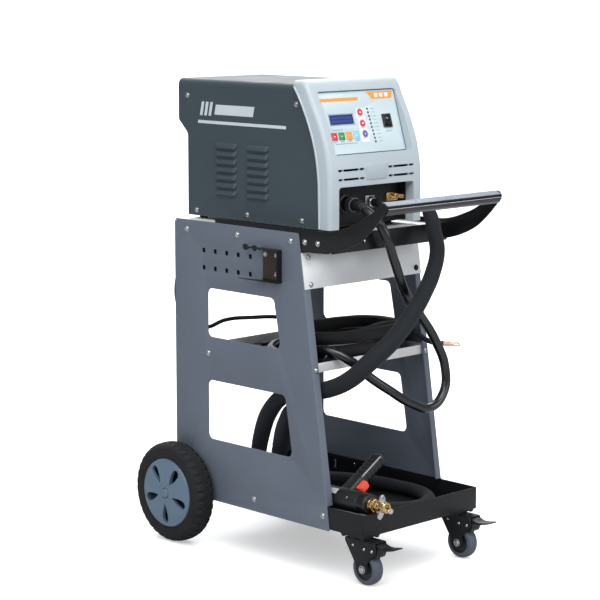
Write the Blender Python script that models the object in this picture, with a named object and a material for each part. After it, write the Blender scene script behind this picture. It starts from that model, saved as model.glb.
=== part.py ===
# Dent-repair spot welder: a sheet-metal power unit standing on a two-wheel,
# two-caster service trolley, with its cables, hose and welding gun.
# Metres, +Z up, front of the machine towards -Y, origin on the floor under
# the middle of the object. Every solid piece is one named object.
import bpy
import bmesh
import math
from mathutils import Vector, Matrix

# ----------------------------------------------------------------- dimensions
GAP = 0.0003                     # clearance between neighbouring pieces

PANEL_X = 0.160                  # outer face of a trolley side panel
PANEL_T = 0.002
PANEL_Z0, PANEL_Z1 = 0.092, 0.6455
PANEL_REAR = 0.256
PANEL_FRONT_TOP = -0.097         # front edge leans forward going down
PANEL_FRONT_BOT = -0.180

TRAY_X = 0.1577
TRAY_FRONT, TRAY_REAR = -0.266, 0.212
TRAY_Z0, TRAY_Z1 = 0.095, 0.1375
SHEET = 0.0015

SHELF_FRONT, SHELF_REAR = -0.1300, 0.178
SHELF_Z0, SHELF_Z1 = 0.384, 0.402

DECK_Z = 0.643                   # top of the machine deck
ARM_X = 0.1577                   # outer face of the handle side plates
ARM_T = 0.003
CROSSBAR_Y = -0.181

WHEEL_R, WHEEL_W = 0.100, 0.046
WHEEL_X, WHEEL_Y = 0.187, 0.230
AXLE_R = 0.006

CASTER_X, CASTER_SWIVEL_Y, CASTER_WHEEL_Y = 0.132, -0.238, -0.254
CASTER_R, CASTER_W = 0.0315, 0.023
PEDAL_PIVOT = (-0.268, 0.0740)   # y, z

COVER_X = 0.120
COVER_Z0, COVER_Z1 = 0.649, 0.918
COVER_T = 0.0015
BEZEL_X = 0.126
BEZEL_Z0, BEZEL_Z1 = 0.651, 0.9250
RECESS_X, RECESS_Z1 = 0.1015, 0.729

CP_TOP = Vector((0.0, -0.086, 0.903))          # control panel, middle of top edge
CP_SLOPE = 0.3136                              # how far it leans per metre down
CP_W, CP_H = 0.105, 0.1250                     # half width, height on the slope

GUN_REAR = Vector((-0.1160, -0.088, 0.1430))   # axis of the gun barrel
GUN_FRONT = Vector((-0.1250, -0.252, 0.1510))

# ---------------------------------------------------------------- start clean
for o in list(bpy.data.objects):
    bpy.data.objects.remove(o, do_unlink=True)

MATS = {}


def material(name, rgb, rough, metal=0.0):
    m = bpy.data.materials.new(name)
    m.use_nodes = True
    b = m.node_tree.nodes["Principled BSDF"]
    b.inputs["Base Color"].default_value = (rgb[0], rgb[1], rgb[2], 1.0)
    b.inputs["Roughness"].default_value = rough
    b.inputs["Metallic"].default_value = metal
    MATS[name] = m


material("panel_grey", (0.150, 0.168, 0.205), 0.55)
material("tray_black", (0.012, 0.013, 0.014), 0.35)
material("frame_black", (0.010, 0.010, 0.012), 0.40)
material("silver_sheet", (0.62, 0.64, 0.66), 0.35, 0.8)
material("cover_slate", (0.050, 0.075, 0.092), 0.45)
material("bezel_grey", (0.48, 0.56, 0.60), 0.45)
material("panel_white", (0.66, 0.76, 0.80), 0.40)
material("lcd_blue", (0.010, 0.020, 0.150), 0.15)
material("black_plastic", (0.010, 0.010, 0.011), 0.45)
material("key_red", (0.60, 0.03, 0.03), 0.45)
material("key_green", (0.01, 0.25, 0.07), 0.45)
material("key_orange", (0.85, 0.35, 0.05), 0.45)
material("key_blue", (0.25, 0.60, 0.85), 0.45)
material("key_purple", (0.15, 0.12, 0.45), 0.45)
material("steel", (0.60, 0.61, 0.62), 0.25, 1.0)
material("brass", (0.65, 0.40, 0.12), 0.25, 1.0)
material("tyre_rubber", (0.022, 0.022, 0.021), 0.80)
material("rim_blue", (0.110, 0.160, 0.230), 0.45)
material("caster_tread", (0.090, 0.105, 0.130), 0.50)
material("cable_black", (0.008, 0.009, 0.011), 0.25)
material("sleeve_navy", (0.012, 0.018, 0.026), 0.80)
material("rubber_black", (0.010, 0.010, 0.010), 0.70)
material("grip_black", (0.012, 0.012, 0.012), 0.30)
material("trigger_red", (0.80, 0.09, 0.04), 0.40)
material("core_steel", (0.20, 0.20, 0.21), 0.50, 0.7)
material("copper", (0.60, 0.25, 0.12), 0.35, 1.0)
material("board_green", (0.01, 0.18, 0.06), 0.50)


# -------------------------------------------------------------------- helpers
def finish(name, bm, mat, smooth=None, helper=False):
    """Put a bmesh into the scene as a named object."""
    bmesh.ops.recalc_face_normals(bm, faces=bm.faces[:])
    me = bpy.data.meshes.new(name)
    bm.to_mesh(me)
    bm.free()
    ob = bpy.data.objects.new(name, me)
    bpy.context.scene.collection.objects.link(ob)
    if helper:
        ob.hide_render = True
        ob.display_type = 'WIRE'
    else:
        me.materials.append(MATS[mat])
    if smooth is not None:
        me.shade_smooth()
        me.set_sharp_from_angle(angle=math.radians(smooth))
    return ob


def place3(axis, a, b, c):
    """2-D point (a, b) at depth c along the named axis."""
    if axis == 'x':
        return Vector((c, a, b))
    if axis == 'y':
        return Vector((a, c, b))
    return Vector((a, b, c))


def prism_bm(pts, axis, lo, hi, holes=()):
    """Extrude an outline, with optional holes, between two depths."""
    bm = bmesh.new()
    edges = []
    for loop in [pts] + list(holes):
        vs = [bm.verts.new(place3(axis, p[0], p[1], lo)) for p in loop]
        for i in range(len(vs)):
            edges.append(bm.edges.new((vs[i], vs[(i + 1) % len(vs)])))
    if holes:
        bmesh.ops.triangle_fill(bm, use_beauty=True, use_dissolve=False, edges=edges)
    else:
        bm.faces.new(bm.verts[:])
    res = bmesh.ops.extrude_face_region(bm, geom=bm.faces[:])
    up = [g for g in res["geom"] if isinstance(g, bmesh.types.BMVert)]
    bmesh.ops.translate(bm, vec=place3(axis, 0, 0, hi - lo), verts=up)
    return bm


def prism(name, pts, axis, lo, hi, mat, holes=(), smooth=None, helper=False):
    return finish(name, prism_bm(pts, axis, lo, hi, holes), mat, smooth, helper)


def rect(a0, a1, b0, b1):
    return [(a0, b0), (a1, b0), (a1, b1), (a0, b1)]


def circle(ca, cb, r, n, start=0.0):
    return [(ca + r * math.cos(start + 2 * math.pi * i / n),
             cb + r * math.sin(start + 2 * math.pi * i / n)) for i in range(n)]


def rounded(pts, r, n=3):
    """Round every corner of a convex outline with radius r."""
    out = []
    m = len(pts)
    for i in range(m):
        p0, p, p1 = Vector(pts[i - 1]), Vector(pts[i]), Vector(pts[(i + 1) % m])
        u, v = (p0 - p).normalized(), (p1 - p).normalized()
        ang = math.acos(max(-1, min(1, u.dot(v))))
        d = r / math.tan(ang / 2)
        c = p + (u + v).normalized() * (r / math.sin(ang / 2))
        a, b = p + u * d - c, p + v * d - c
        sweep = math.atan2(a.x * b.y - a.y * b.x, a.dot(b))
        for k in range(n + 1):
            t = sweep * k / n
            out.append((c.x + a.x * math.cos(t) - a.y * math.sin(t),
                        c.y + a.x * math.sin(t) + a.y * math.cos(t)))
    return out


def box_bm(lo, hi):
    return prism_bm(rect(lo[0], hi[0], lo[1], hi[1]), 'z', lo[2], hi[2])


def box(name, lo, hi, mat, helper=False):
    return finish(name, box_bm(lo, hi), mat, None, helper)


def lathe_bm(profile, axis, centre, steps, closed=True):
    """Turn a profile of (radius, position along the axis) into a solid."""
    bm = bmesh.new()
    radial = {'x': Vector((0, 1, 0)), 'y': Vector((1, 0, 0)), 'z': Vector((1, 0, 0))}[axis]
    along = {'x': Vector((1, 0, 0)), 'y': Vector((0, 1, 0)), 'z': Vector((0, 0, 1))}[axis]
    vs = [bm.verts.new(Vector(centre) + radial * r + along * a) for r, a in profile]
    es = [bm.edges.new((vs[i], vs[i + 1])) for i in range(len(vs) - 1)]
    if closed:
        es.append(bm.edges.new((vs[-1], vs[0])))
    bmesh.ops.spin(bm, geom=vs + es, cent=centre, axis=along, angle=2 * math.pi,
                   steps=steps, use_merge=True, use_duplicate=False)
    bmesh.ops.remove_doubles(bm, verts=bm.verts[:], dist=1e-6)
    bmesh.ops.dissolve_degenerate(bm, dist=1e-7, edges=bm.edges[:])
    return bm


def lathe(name, profile, axis, centre, steps, mat, closed=True, smooth=40, helper=False):
    return finish(name, lathe_bm(profile, axis, centre, steps, closed), mat, smooth, helper)


def boolean(ob, op, *cutters):
    for c in cutters:
        m = ob.modifiers.new(op.lower(), 'BOOLEAN')
        m.operation = op
        m.solver = 'EXACT'
        m.object = c
    return ob


def sheet(name, faces, thickness, mat, flip=False):
    """Folded sheet metal: faces share their fold lines, and get a thickness."""
    bm = bmesh.new()
    lookup = {}

    def vert(p):
        k = tuple(round(c, 6) for c in p)
        if k not in lookup:
            lookup[k] = bm.verts.new(k)
        return lookup[k]

    for f in faces:
        if isinstance(f, dict):
            edges = []
            for loop in [f["outline"]] + f["holes"]:
                vs = [vert(p) for p in loop]
                for i in range(len(vs)):
                    e = bm.edges.get((vs[i], vs[(i + 1) % len(vs)]))
                    edges.append(e or bm.edges.new((vs[i], vs[(i + 1) % len(vs)])))
            bmesh.ops.triangle_fill(bm, use_beauty=True, use_dissolve=False, edges=edges)
        else:
            bm.faces.new([vert(p) for p in f])
    bmesh.ops.recalc_face_normals(bm, faces=bm.faces[:])
    if flip:
        bmesh.ops.reverse_faces(bm, faces=bm.faces[:])
    me = bpy.data.meshes.new(name)
    bm.to_mesh(me)
    bm.free()
    ob = bpy.data.objects.new(name, me)
    bpy.context.scene.collection.objects.link(ob)
    me.materials.append(MATS[mat])
    s = ob.modifiers.new("thickness", 'SOLIDIFY')
    s.thickness = thickness
    s.offset = -1.0
    s.use_even_offset = True
    return ob


def orient_sheet(ob, inside):
    """Make the face normals point away from a point inside the fold."""
    me = ob.data
    score = sum((p.center - Vector(inside)).dot(p.normal) * p.area for p in me.polygons)
    if score < 0:
        me.flip_normals()
    return ob


def tube(name, points, radius, mat, res=3, bevel=3, scale=()):
    """A round cable or hose along a smooth path, with closed ends.
    scale gives the radius of each point as a share of the full radius."""
    cu = bpy.data.curves.new(name, 'CURVE')
    cu.dimensions = '3D'
    cu.resolution_u = res
    cu.render_resolution_u = 0
    cu.bevel_depth = radius
    cu.bevel_resolution = bevel
    cu.use_fill_caps = True
    sp = cu.splines.new('BEZIER')
    sp.bezier_points.add(len(points) - 1)
    for bp, p in zip(sp.bezier_points, points):
        bp.co = p
        bp.handle_left_type = bp.handle_right_type = 'AUTO'
    for bp, k in zip(sp.bezier_points, scale):
        bp.radius = k
    cu.materials.append(MATS[mat])
    ob = bpy.data.objects.new(name, cu)
    bpy.context.scene.collection.objects.link(ob)
    return ob


def panel_front(z):
    """Leaning front edge of the side panels."""
    k = (PANEL_FRONT_TOP - PANEL_FRONT_BOT) / (PANEL_Z1 - PANEL_Z0)
    return PANEL_FRONT_TOP - k * (PANEL_Z1 - z)


# ============================================================ trolley side panels
WIN_HIGH = rounded([(0.157, 0.516), (0.157, 0.420), (-0.049, 0.420), (-0.030, 0.516)], 0.012)
WIN_LOW = rounded([(0.157, 0.334), (0.157, 0.216), (-0.081, 0.216), (-0.061, 0.334)], 0.012)
PEG_Y = (0.168, 0.135, 0.102, 0.069, 0.035)
PEG_Z = (0.589, 0.555)


def side_panel(name, sx):
    x0 = sx * PANEL_X
    zf0, zf1 = 0.1385, 0.609
    outline = [(PANEL_REAR, 0.640), (0.2525, PANEL_Z1), (-0.094, PANEL_Z1), (-0.0972, 0.6430),
               (panel_front(zf1), zf1), (panel_front(zf0), zf0), (PANEL_FRONT_BOT, PANEL_Z0),
               (0.190, PANEL_Z0), (0.203, 0.079), (PANEL_REAR, 0.079)]
    holes = [WIN_HIGH, WIN_LOW, circle(WHEEL_Y, WHEEL_R, AXLE_R + GAP, 12)]
    for y in PEG_Y:
        for z in PEG_Z:
            holes.append(rect(y - 0.0043, y + 0.0043, z - 0.0045, z + 0.0045))
    faces = [{"outline": [(x0, y, z) for y, z in outline],
              "holes": [[(x0, y, z) for y, z in h] for h in holes]}]
    xi = sx * 0.1440
    faces.append([(x0, panel_front(zf1), zf1), (xi, panel_front(zf1), zf1),
                  (xi, panel_front(zf0), zf0), (x0, panel_front(zf0), zf0)])
    faces.append([(x0, PANEL_REAR, 0.640), (x0, PANEL_REAR, 0.079),
                  (sx * 0.146, PANEL_REAR, 0.079), (sx * 0.146, PANEL_REAR, 0.640)])
    ob = sheet(name, faces, PANEL_T, "panel_grey")
    return orient_sheet(ob, (0, 0.05, 0.35))


side_panel("side_panel_left", -1)
side_panel("side_panel_right", 1)

# ================================================================== bottom tray
tx, ty0, ty1, tz0, tz1 = TRAY_X, TRAY_FRONT, TRAY_REAR, TRAY_Z0, TRAY_Z1
tray_faces = [
    [(-tx, ty0, tz0), (tx, ty0, tz0), (tx, ty1, tz0), (-tx, ty1, tz0)],
    [(-tx, ty0, tz0), (tx, ty0, tz0), (tx, ty0, tz1), (-tx, ty0, tz1)],
    [(-tx, ty1, tz0), (tx, ty1, tz0), (tx, ty1, tz1), (-tx, ty1, tz1)],
    [(-tx, ty0, tz0), (-tx, ty1, tz0), (-tx, ty1, tz1), (-tx, ty0, tz1)],
    [(tx, ty0, tz0), (tx, ty1, tz0), (tx, ty1, tz1), (tx, ty0, tz1)],
]
orient_sheet(sheet("bottom_tray", tray_faces, SHEET, "tray_black"), (0, 0, 0.125))

# ================================================================= middle shelf
hx, hy0, hy1, hz0, hz1 = TRAY_X, SHELF_FRONT, SHELF_REAR, SHELF_Z0, SHELF_Z1
shelf_faces = [
    [(-hx, hy0, hz0), (hx, hy0, hz0), (hx, hy1, hz0), (-hx, hy1, hz0)],
    [(-hx, hy0, hz0), (hx, hy0, hz0), (hx, hy0, hz1), (-hx, hy0, hz1)],
    [(-hx, hy1, hz0), (hx, hy1, hz0), (hx, hy1, hz1), (-hx, hy1, hz1)],
    [(-hx, hy0, hz0), (-hx, hy1, hz0), (-hx, hy1, hz1), (-hx, hy0, hz1)],
    [(hx, hy0, hz0), (hx, hy1, hz0), (hx, hy1, hz1), (hx, hy0, hz1)],
]
orient_sheet(sheet("middle_shelf", shelf_faces, SHEET, "silver_sheet"), (0, 0, 0.40))

# ===================================================== machine deck and its fascia
dx, dy0, dy1 = ARM_X - ARM_T - GAP, CROSSBAR_Y + 0.0018, 0.2535
dy2, dz0 = -0.085, 0.540         # deep skirts close the back of the peg holes
deck_faces = [
    [(-dx, dy0, DECK_Z), (dx, dy0, DECK_Z), (dx, dy1, DECK_Z), (-dx, dy1, DECK_Z)],
    [(-dx, dy0, DECK_Z), (-dx, dy1, DECK_Z), (-dx, dy1, dz0), (-dx, dy2, dz0), (-dx, dy2, 0.6135), (-dx, dy0, 0.6135)],
    [(dx, dy0, DECK_Z), (dx, dy1, DECK_Z), (dx, dy1, dz0), (dx, dy2, dz0), (dx, dy2, 0.6135), (dx, dy0, 0.6135)],
    [(-dx, dy1, DECK_Z), (dx, dy1, DECK_Z), (dx, dy1, dz0), (-dx, dy1, dz0)],
]
orient_sheet(sheet("top_deck", deck_faces, SHEET, "silver_sheet"), (0, 0.04, 0.60))

fz0, fz1 = 0.541, 0.6085
fy = lambda z: panel_front(z) - GAP
prism("front_fascia", [(fy(fz0), fz0), (fy(fz1), fz1), (fy(fz1) - SHEET, fz1), (fy(fz0) - SHEET, fz0)],
      'x', -0.1595, 0.1595, "silver_sheet")

# ================================================================== push handle
ARM_TOP = [(0.1375, 0.6544), (-0.150, 0.6535), (-0.178, 0.6553), (-0.2024, 0.6605),
           (-0.2248, 0.6683), (-0.2506, 0.6790), (-0.2834, 0.6980), (-0.3000, 0.7110), (-0.3070, 0.7185)]
ARM_NOSE = [(-0.3140, 0.7175), (-0.3195, 0.7110), (-0.3190, 0.7040)]
ARM_BOTTOM = [(-0.3131, 0.6975), (-0.2911, 0.6740), (-0.2667, 0.6520), (-0.2461, 0.6390),
              (-0.2148, 0.6255), (-0.1800, 0.6160), (-0.1650, 0.6125), (-0.100, 0.6105), (0.1375, 0.6105)]
arm_outline = ARM_TOP + ARM_NOSE + ARM_BOTTOM
frame = prism("handle_frame", arm_outline, 'x', -ARM_X, -(ARM_X - ARM_T), "frame_black")
arm_r = prism("arm_right_helper", arm_outline, 'x', ARM_X - ARM_T, ARM_X, None, helper=True)
bar = prism("crossbar_helper", rect(CROSSBAR_Y - 0.0015, CROSSBAR_Y + 0.0015, 0.6135, 0.6485),
            'x', -(ARM_X - 0.0015), ARM_X - 0.0015, None, helper=True)
boolean(frame, 'UNION', bar, arm_r)

grip_profile = [(-0.3040, 0.7175), (-0.3070, 0.7188), (-0.3110, 0.7182), (-0.3195, 0.7135), (-0.3200, 0.7115),
                (-0.3172, 0.7100), (-0.3172, 0.7088), (-0.3206, 0.7075), (-0.3206, 0.7055),
                (-0.3180, 0.6990), (-0.3120, 0.6945), (-0.3050, 0.6945), (-0.2990, 0.6990), (-0.2985, 0.7090)]
gx = ARM_X - ARM_T - GAP
prism("handle_grip", grip_profile, 'x', -gx, gx, "grip_black", smooth=35)

# ================================================================= tool bracket
bx1 = -PANEL_X - GAP
bracket = box("tool_bracket", (bx1 - 0.0015, -0.053, 0.547), (bx1, -0.002, 0.6105), "frame_black")
b_top = box("bracket_top_helper", (bx1 - 0.014, -0.053, 0.6090), (bx1 - 0.0005, 0.002, 0.6105), None, True)
b_bot = prism("bracket_low_helper", [(bx1 - 0.014, -0.053), (bx1 - 0.0005, -0.053), (bx1 - 0.0005, -0.002),
                                     (bx1 - 0.007, 0.020), (bx1 - 0.012, 0.052), (bx1 - 0.014, 0.052)],
              'z', 0.547, 0.5485, None, helper=True)
b_front = box("bracket_front_helper", (bx1 - 0.014, -0.053, 0.5475), (bx1 - 0.0005, -0.0515, 0.6100), None, True)
hook = [(-0.010, 0.6070), (0.004, 0.6070), (0.0060, 0.6035), (0.0120, 0.6035), (0.0145, 0.6080),
        (0.0240, 0.6080), (0.0290, 0.6035), (0.0360, 0.6030), (0.0405, 0.6070), (0.0410, 0.6120),
        (0.0370, 0.6155), (0.0300, 0.6150), (0.0270, 0.6115), (0.0150, 0.6110), (0.0120, 0.6145),
        (0.0050, 0.6145), (0.0020, 0.6112), (-0.010, 0.6104)]
b_hook = prism("bracket_hook_helper", hook, 'x', bx1 - 0.0139, bx1 - 0.0115, None, helper=True)
boolean(bracket, 'UNION', b_top, b_bot, b_front, b_hook)

# ================================================================== rear wheels
ax_end = WHEEL_X + 0.0225
lathe("rear_axle", [(0, -ax_end), (AXLE_R - 0.001, -ax_end), (AXLE_R, -ax_end + 0.001),
                    (AXLE_R, ax_end - 0.001), (AXLE_R - 0.001, ax_end), (0, ax_end)],
      'x', (0, WHEEL_Y, WHEEL_R), 16, "steel", closed=False)

TYRE = [(0.0697, -0.0205), (0.0760, -0.0230), (0.0860, -0.0233), (0.0935, -0.0200), (0.0980, -0.0150),
        (0.1000, -0.0070), (0.1000, 0.0070), (0.0980, 0.0150), (0.0935, 0.0200), (0.0860, 0.0233),
        (0.0760, 0.0230), (0.0697, 0.0205)]
RIM = [(AXLE_R + GAP, -0.0220), (0.0150, -0.0220), (0.0160, 0.0180), (0.0600, 0.0180), (0.0640, -0.0190),
       (0.0690, -0.0190), (0.0690, 0.0212), (0.0660, 0.0238), (0.0500, 0.0260), (0.0200, 0.0268),
       (0.0100, 0.0268), (0.0100, 0.0230), (AXLE_R + GAP, 0.0230)]
CAP = [(0, 0.0236), (0.0060, 0.0236), (0.0096, 0.0236), (0.0096, 0.0270), (0.0084, 0.0283), (0, 0.0288)]


def teardrop(r0, r1, half, angle):
    """Wheel slot: pointed towards the hub, round at the outside."""
    pts = [(0.0, r0)]
    for t in (0.25, 0.5, 0.75):
        pts.append((half * math.sin(t * math.pi / 2) ** 0.8, r0 + (r1 - half - r0) * t))
    for k in range(0, 7):
        a = math.pi * k / 6
        pts.append((half * math.cos(a), r1 - half + half * math.sin(a)))
    for t in (0.75, 0.5, 0.25):
        pts.append((-half * math.sin(t * math.pi / 2) ** 0.8, r0 + (r1 - half - r0) * t))
    ca, sa = math.cos(angle), math.sin(angle)
    return [(WHEEL_Y + a * ca + b * sa, WHEEL_R - a * sa + b * ca) for a, b in pts]


def rear_wheel(side, sx):
    def flip(prof):
        return [(r, sx * a) for r, a in prof]
    c = (sx * WHEEL_X, WHEEL_Y, WHEEL_R)
    lathe("tyre_" + side, flip(TYRE), 'x', c, 24, "tyre_rubber")
    rim = lathe("wheel_rim_" + side, flip(RIM), 'x', c, 24, "rim_blue")
    for k in range(5):
        cut = prism("slot_%s_%d" % (side, k), teardrop(0.0230, 0.0600, 0.0068, math.radians(36 + 72 * k)), 'x',
                    sx * (WHEEL_X + 0.0120), sx * (WHEEL_X + 0.0300), None, helper=True)
        boolean(rim, 'DIFFERENCE', cut)
    lathe("hub_cap_" + side, flip(CAP), 'x', c, 12, "rim_blue", closed=False)


rear_wheel("left", -1)
rear_wheel("right", 1)

# ====================================================================== casters
LEG = [(-0.2090, 0.0870), (-0.2092, 0.0800), (-0.2400, 0.0340), (-0.2440, 0.0250), (-0.2540, 0.0205),
       (-0.2640, 0.0250), (-0.2670, 0.0330), (-0.2660, 0.0450), (-0.2740, 0.0560), (-0.2860, 0.0650),
       (-0.2890, 0.0760), (-0.2840, 0.0870)]
PEDAL = [(-0.2610, 0.0770), (-0.2610, 0.0700), (-0.2720, 0.0655), (-0.2780, 0.0590), (-0.2845, 0.0580),
         (-0.2880, 0.0640), (-0.2900, 0.0745), (-0.3000, 0.0758), (-0.3100, 0.0765), (-0.3295, 0.0812),
         (-0.3300, 0.0826), (-0.3275, 0.0833), (-0.3090, 0.0800), (-0.2990, 0.0800), (-0.2900, 0.0830),
         (-0.2830, 0.0838), (-0.2700, 0.0820)]


def caster(side, sx):
    cx = sx * CASTER_X
    # mounting plate under the tray
    hole = circle(cx, CASTER_SWIVEL_Y, 0.0065, 12)
    prism("caster_plate_" + side, rounded(rect(cx - 0.0240, cx + 0.0240, -0.2640, -0.2030), 0.004, 2), 'z',
          0.0922, TRAY_Z0 - GAP, "steel", holes=[hole])
    # fork: two legs, a bridge, a swivel ring and the king pin
    fork = prism("caster_fork_" + side, LEG, 'x', cx - 0.0162, cx - 0.0137, "frame_black",
                 holes=[circle(CASTER_WHEEL_Y, CASTER_R, 0.0043, 12)])
    leg2 = prism("leg2_" + side, LEG, 'x', cx + 0.0137, cx + 0.0162, None,
                 holes=[circle(CASTER_WHEEL_Y, CASTER_R, 0.0043, 12)], helper=True)
    bridge = box("bridge_" + side, (cx - 0.0155, -0.2835, 0.0848), (cx + 0.0155, -0.2095, 0.0866), None, True)
    ring = lathe("ring_" + side, [(0, 0.0860), (0.0200, 0.0860), (0.0200, 0.0895), (0.0180, 0.0915),
                                  (0.0060, 0.0915), (0.0060, 0.0944), (0, 0.0944)], 'z',
                 (cx, CASTER_SWIVEL_Y, 0), 20, None, closed=False, helper=True)
    boolean(fork, 'UNION', bridge, leg2, ring)
    # wheel
    w = CASTER_W / 2
    lathe("caster_wheel_" + side, [(0.0043, -w), (0.0100, -w), (0.0115, -w + 0.0015), (0.0190, -w + 0.0015),
                                   (0.0205, -w), (0.0275, -w), (CASTER_R, -w + 0.0055),
                                   (CASTER_R, w - 0.0055), (0.0275, w), (0.0205, w),
                                   (0.0190, w - 0.0015), (0.0115, w - 0.0015), (0.0100, w), (0.0043, w)],
          'x', (cx, CASTER_WHEEL_Y, CASTER_R), 20, "caster_tread")
    # axle bolt with its head and nut
    lathe("caster_axle_" + side, [(0, -0.0205), (0.0050, -0.0205), (0.0064, -0.0195), (0.0064, -0.0165),
                                  (0.0040, -0.0165), (0.0040, 0.0165), (0.0064, 0.0165), (0.0064, 0.0200),
                                  (0.0050, 0.0210), (0, 0.0210)],
          'x', (cx, CASTER_WHEEL_Y, CASTER_R), 8, "steel", closed=False)
    # brake pedal between the legs
    prism("brake_pedal_" + side, PEDAL, 'x', cx - 0.0125, cx + 0.0125, "frame_black")


caster("left", -1)
caster("right", 1)

# ============================================================ power unit: cover
cz0, cz1, cxo = COVER_Z0, COVER_Z1, COVER_X


def arch(xo, ztop, r, n=4):
    """Half of the cover's section, from the foot of the side up to the roof."""
    pts = [(xo, cz0)]
    for k in range(n + 1):
        a = math.pi / 2 * k / n
        pts.append((xo - r + r * math.cos(a), ztop - r + r * math.sin(a)))
    return pts


outer = arch(cxo, cz1, 0.013)
inner = arch(cxo - COVER_T, cz1 - COVER_T, 0.0115)
section = outer + [(-x, z) for x, z in reversed(outer)] + [(-x, z) for x, z in inner] + list(reversed(inner))
cover = prism("cover_shell", section, 'y', -0.130, 0.300, "cover_slate", smooth=30)
# side view of the cover: stepped rear, curved front tucked behind the bezel
COVER_SIDE = [(0.285, 0.930), (0.285, 0.8365), (0.262, 0.8146), (0.258, 0.8050), (0.258, 0.640), (-0.1180, 0.640),
              (-0.1180, 0.699), (-0.1160, 0.749), (-0.1070, 0.7985), (-0.0920, 0.841), (-0.0710, 0.883),
              (-0.0535, 0.910), (-0.0530, 0.930)]
side_cut = prism("cover_side_helper", COVER_SIDE, 'x', -0.2, 0.2, None, helper=True)
boolean(cover, 'INTERSECT', side_cut)
LOUVRE_Z0, LOUVRE_DZ = 0.698, 0.0152
lou = bmesh.new()
for i in range(7):
    zc = LOUVRE_Z0 + i * LOUVRE_DZ
    for y0, y1 in ((0.116, 0.176), (0.026, 0.088)):
        b = box_bm((-0.15, y0, zc - 0.0016), (0.15, y1, zc + 0.0016))
        tmp = bpy.data.meshes.new("tmp")
        bmesh.ops.recalc_face_normals(b, faces=b.faces[:])
        b.to_mesh(tmp)
        b.free()
        lou.from_mesh(tmp)
        bpy.data.meshes.remove(tmp)
louvres = finish("louvre_helper", lou, None, helper=True)
boolean(cover, 'DIFFERENCE', louvres)

# base pan under the works, its long edges turned up inside the cover
px, py0, py1, pz0, pz1 = cxo - COVER_T - GAP, -0.100, 0.2525, 0.6500, 0.662
pan_faces = [
    [(-px, py0, pz0), (px, py0, pz0), (px, py1, pz0), (-px, py1, pz0)],
    [(-px, py0, pz0), (-px, py1, pz0), (-px, py1, pz1), (-px, py0, pz1)],
    [(px, py0, pz0), (px, py1, pz0), (px, py1, pz1), (px, py0, pz1)],
]
orient_sheet(sheet("base_pan", pan_faces, SHEET, "black_plastic"), (0, 0.08, 0.66))

for nm, fx, fyy in (("rear_left", -1, 0.230), ("rear_right", 1, 0.230), ("front_left", -1, -0.075),
                    ("front_right", 1, -0.075)):
    lathe("machine_foot_" + nm, [(0, DECK_Z + GAP), (0.0075, DECK_Z + GAP), (0.0090, pz0 - GAP), (0, pz0 - GAP)],
          'z', (fx * 0.104, fyy, 0), 16, "rubber_black", closed=False)

# rear panel with its fan ring, four spokes and motor seat in one pressing
FAN_C = (0.0, 0.785)
rp_out = [(-0.1180, 0.6545), (0.1180, 0.6545), (0.1180, 0.9030), (0.1145, 0.9112), (0.1065, 0.9155),
          (-0.1065, 0.9155), (-0.1145, 0.9112), (-0.1180, 0.9030)]
quads = []
for k in range(4):
    a0, a1 = math.radians(90 * k + 6), math.radians(90 * k + 84)
    ring = []
    for j in range(6):
        a = a0 + (a1 - a0) * j / 5
        ring.append((FAN_C[0] + 0.047 * math.cos(a), FAN_C[1] + 0.047 * math.sin(a)))
    for j in range(4):
        a = a1 + (a0 - a1) * (j + 0.35) / 3.7
        ring.append((FAN_C[0] + 0.018 * math.cos(a), FAN_C[1] + 0.018 * math.sin(a)))
    quads.append(ring)
CORD_HOLE = (0.070, 0.690)
prism("rear_panel", rp_out, 'y', 0.2545, 0.2560, "cover_slate",
      holes=quads + [circle(CORD_HOLE[0], CORD_HOLE[1], 0.0068, 12)])

# fan: hub and five swept blades on a short shaft
fan = lathe("fan_rotor", [(0, 0.2290), (0.0140, 0.2290), (0.0150, 0.2300), (0.0150, 0.2460), (0.0140, 0.2470),
                          (0.0035, 0.2470), (0.0035, 0.2540), (0, 0.2540)], 'y', (FAN_C[0], 0, FAN_C[1]), 20,
            "black_plastic", closed=False)
for k in range(5):
    bm = box_bm((0.0120, -0.0011, -0.0090), (0.0430, 0.0011, 0.0090))
    twist = Matrix.Rotation(math.radians(42), 4, 'X')
    bmesh.ops.transform(bm, matrix=twist, verts=bm.verts[:])
    # local X is radial, local Z runs along the fan's axis
    frame_m = Matrix(((1, 0, 0, 0), (0, 0, 1, 0), (0, -1, 0, 0), (0, 0, 0, 1)))
    turn = Matrix.Rotation(math.radians(72 * k + 10), 4, 'Y')
    bmesh.ops.transform(bm, matrix=Matrix.Translation((FAN_C[0], 0.2380, FAN_C[1])) @ turn @ frame_m,
                        verts=bm.verts[:])
    blade = finish("blade_helper_%d" % k, bm, None, helper=True)
    boolean(fan, 'UNION', blade)

# ============================================================ power unit: bezel
FRONT = [(-0.1455, BEZEL_Z0), (-0.1455, 0.700), (-0.1445, 0.751), (-0.1405, 0.779), (-0.1340, 0.807),
         (-0.1240, 0.834), (-0.1140, 0.857), (-0.0935, 0.896), (-0.0864, 0.9110), (-0.0806, 0.9190),
         (-0.0740, 0.9237), (-0.0690, BEZEL_Z1)]
SEAM = [(-0.0480, BEZEL_Z1), (-0.0484, 0.912), (-0.0670, 0.883), (-0.0880, 0.841), (-0.1030, 0.7985),
        (-0.1120, 0.749), (-0.1140, 0.699), (-0.1150, BEZEL_Z0)]
bezel = prism("front_bezel", FRONT + SEAM, 'x', -BEZEL_X, BEZEL_X, "bezel_grey", smooth=30)
bev = bezel.modifiers.new("corner", 'BEVEL')
bev.limit_method = 'ANGLE'
bev.angle_limit = math.radians(50)
bev.width = 0.006
bev.segments = 2


def cp_plane_y(z):
    return CP_TOP.y - (CP_TOP.z - z) * CP_SLOPE


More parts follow.
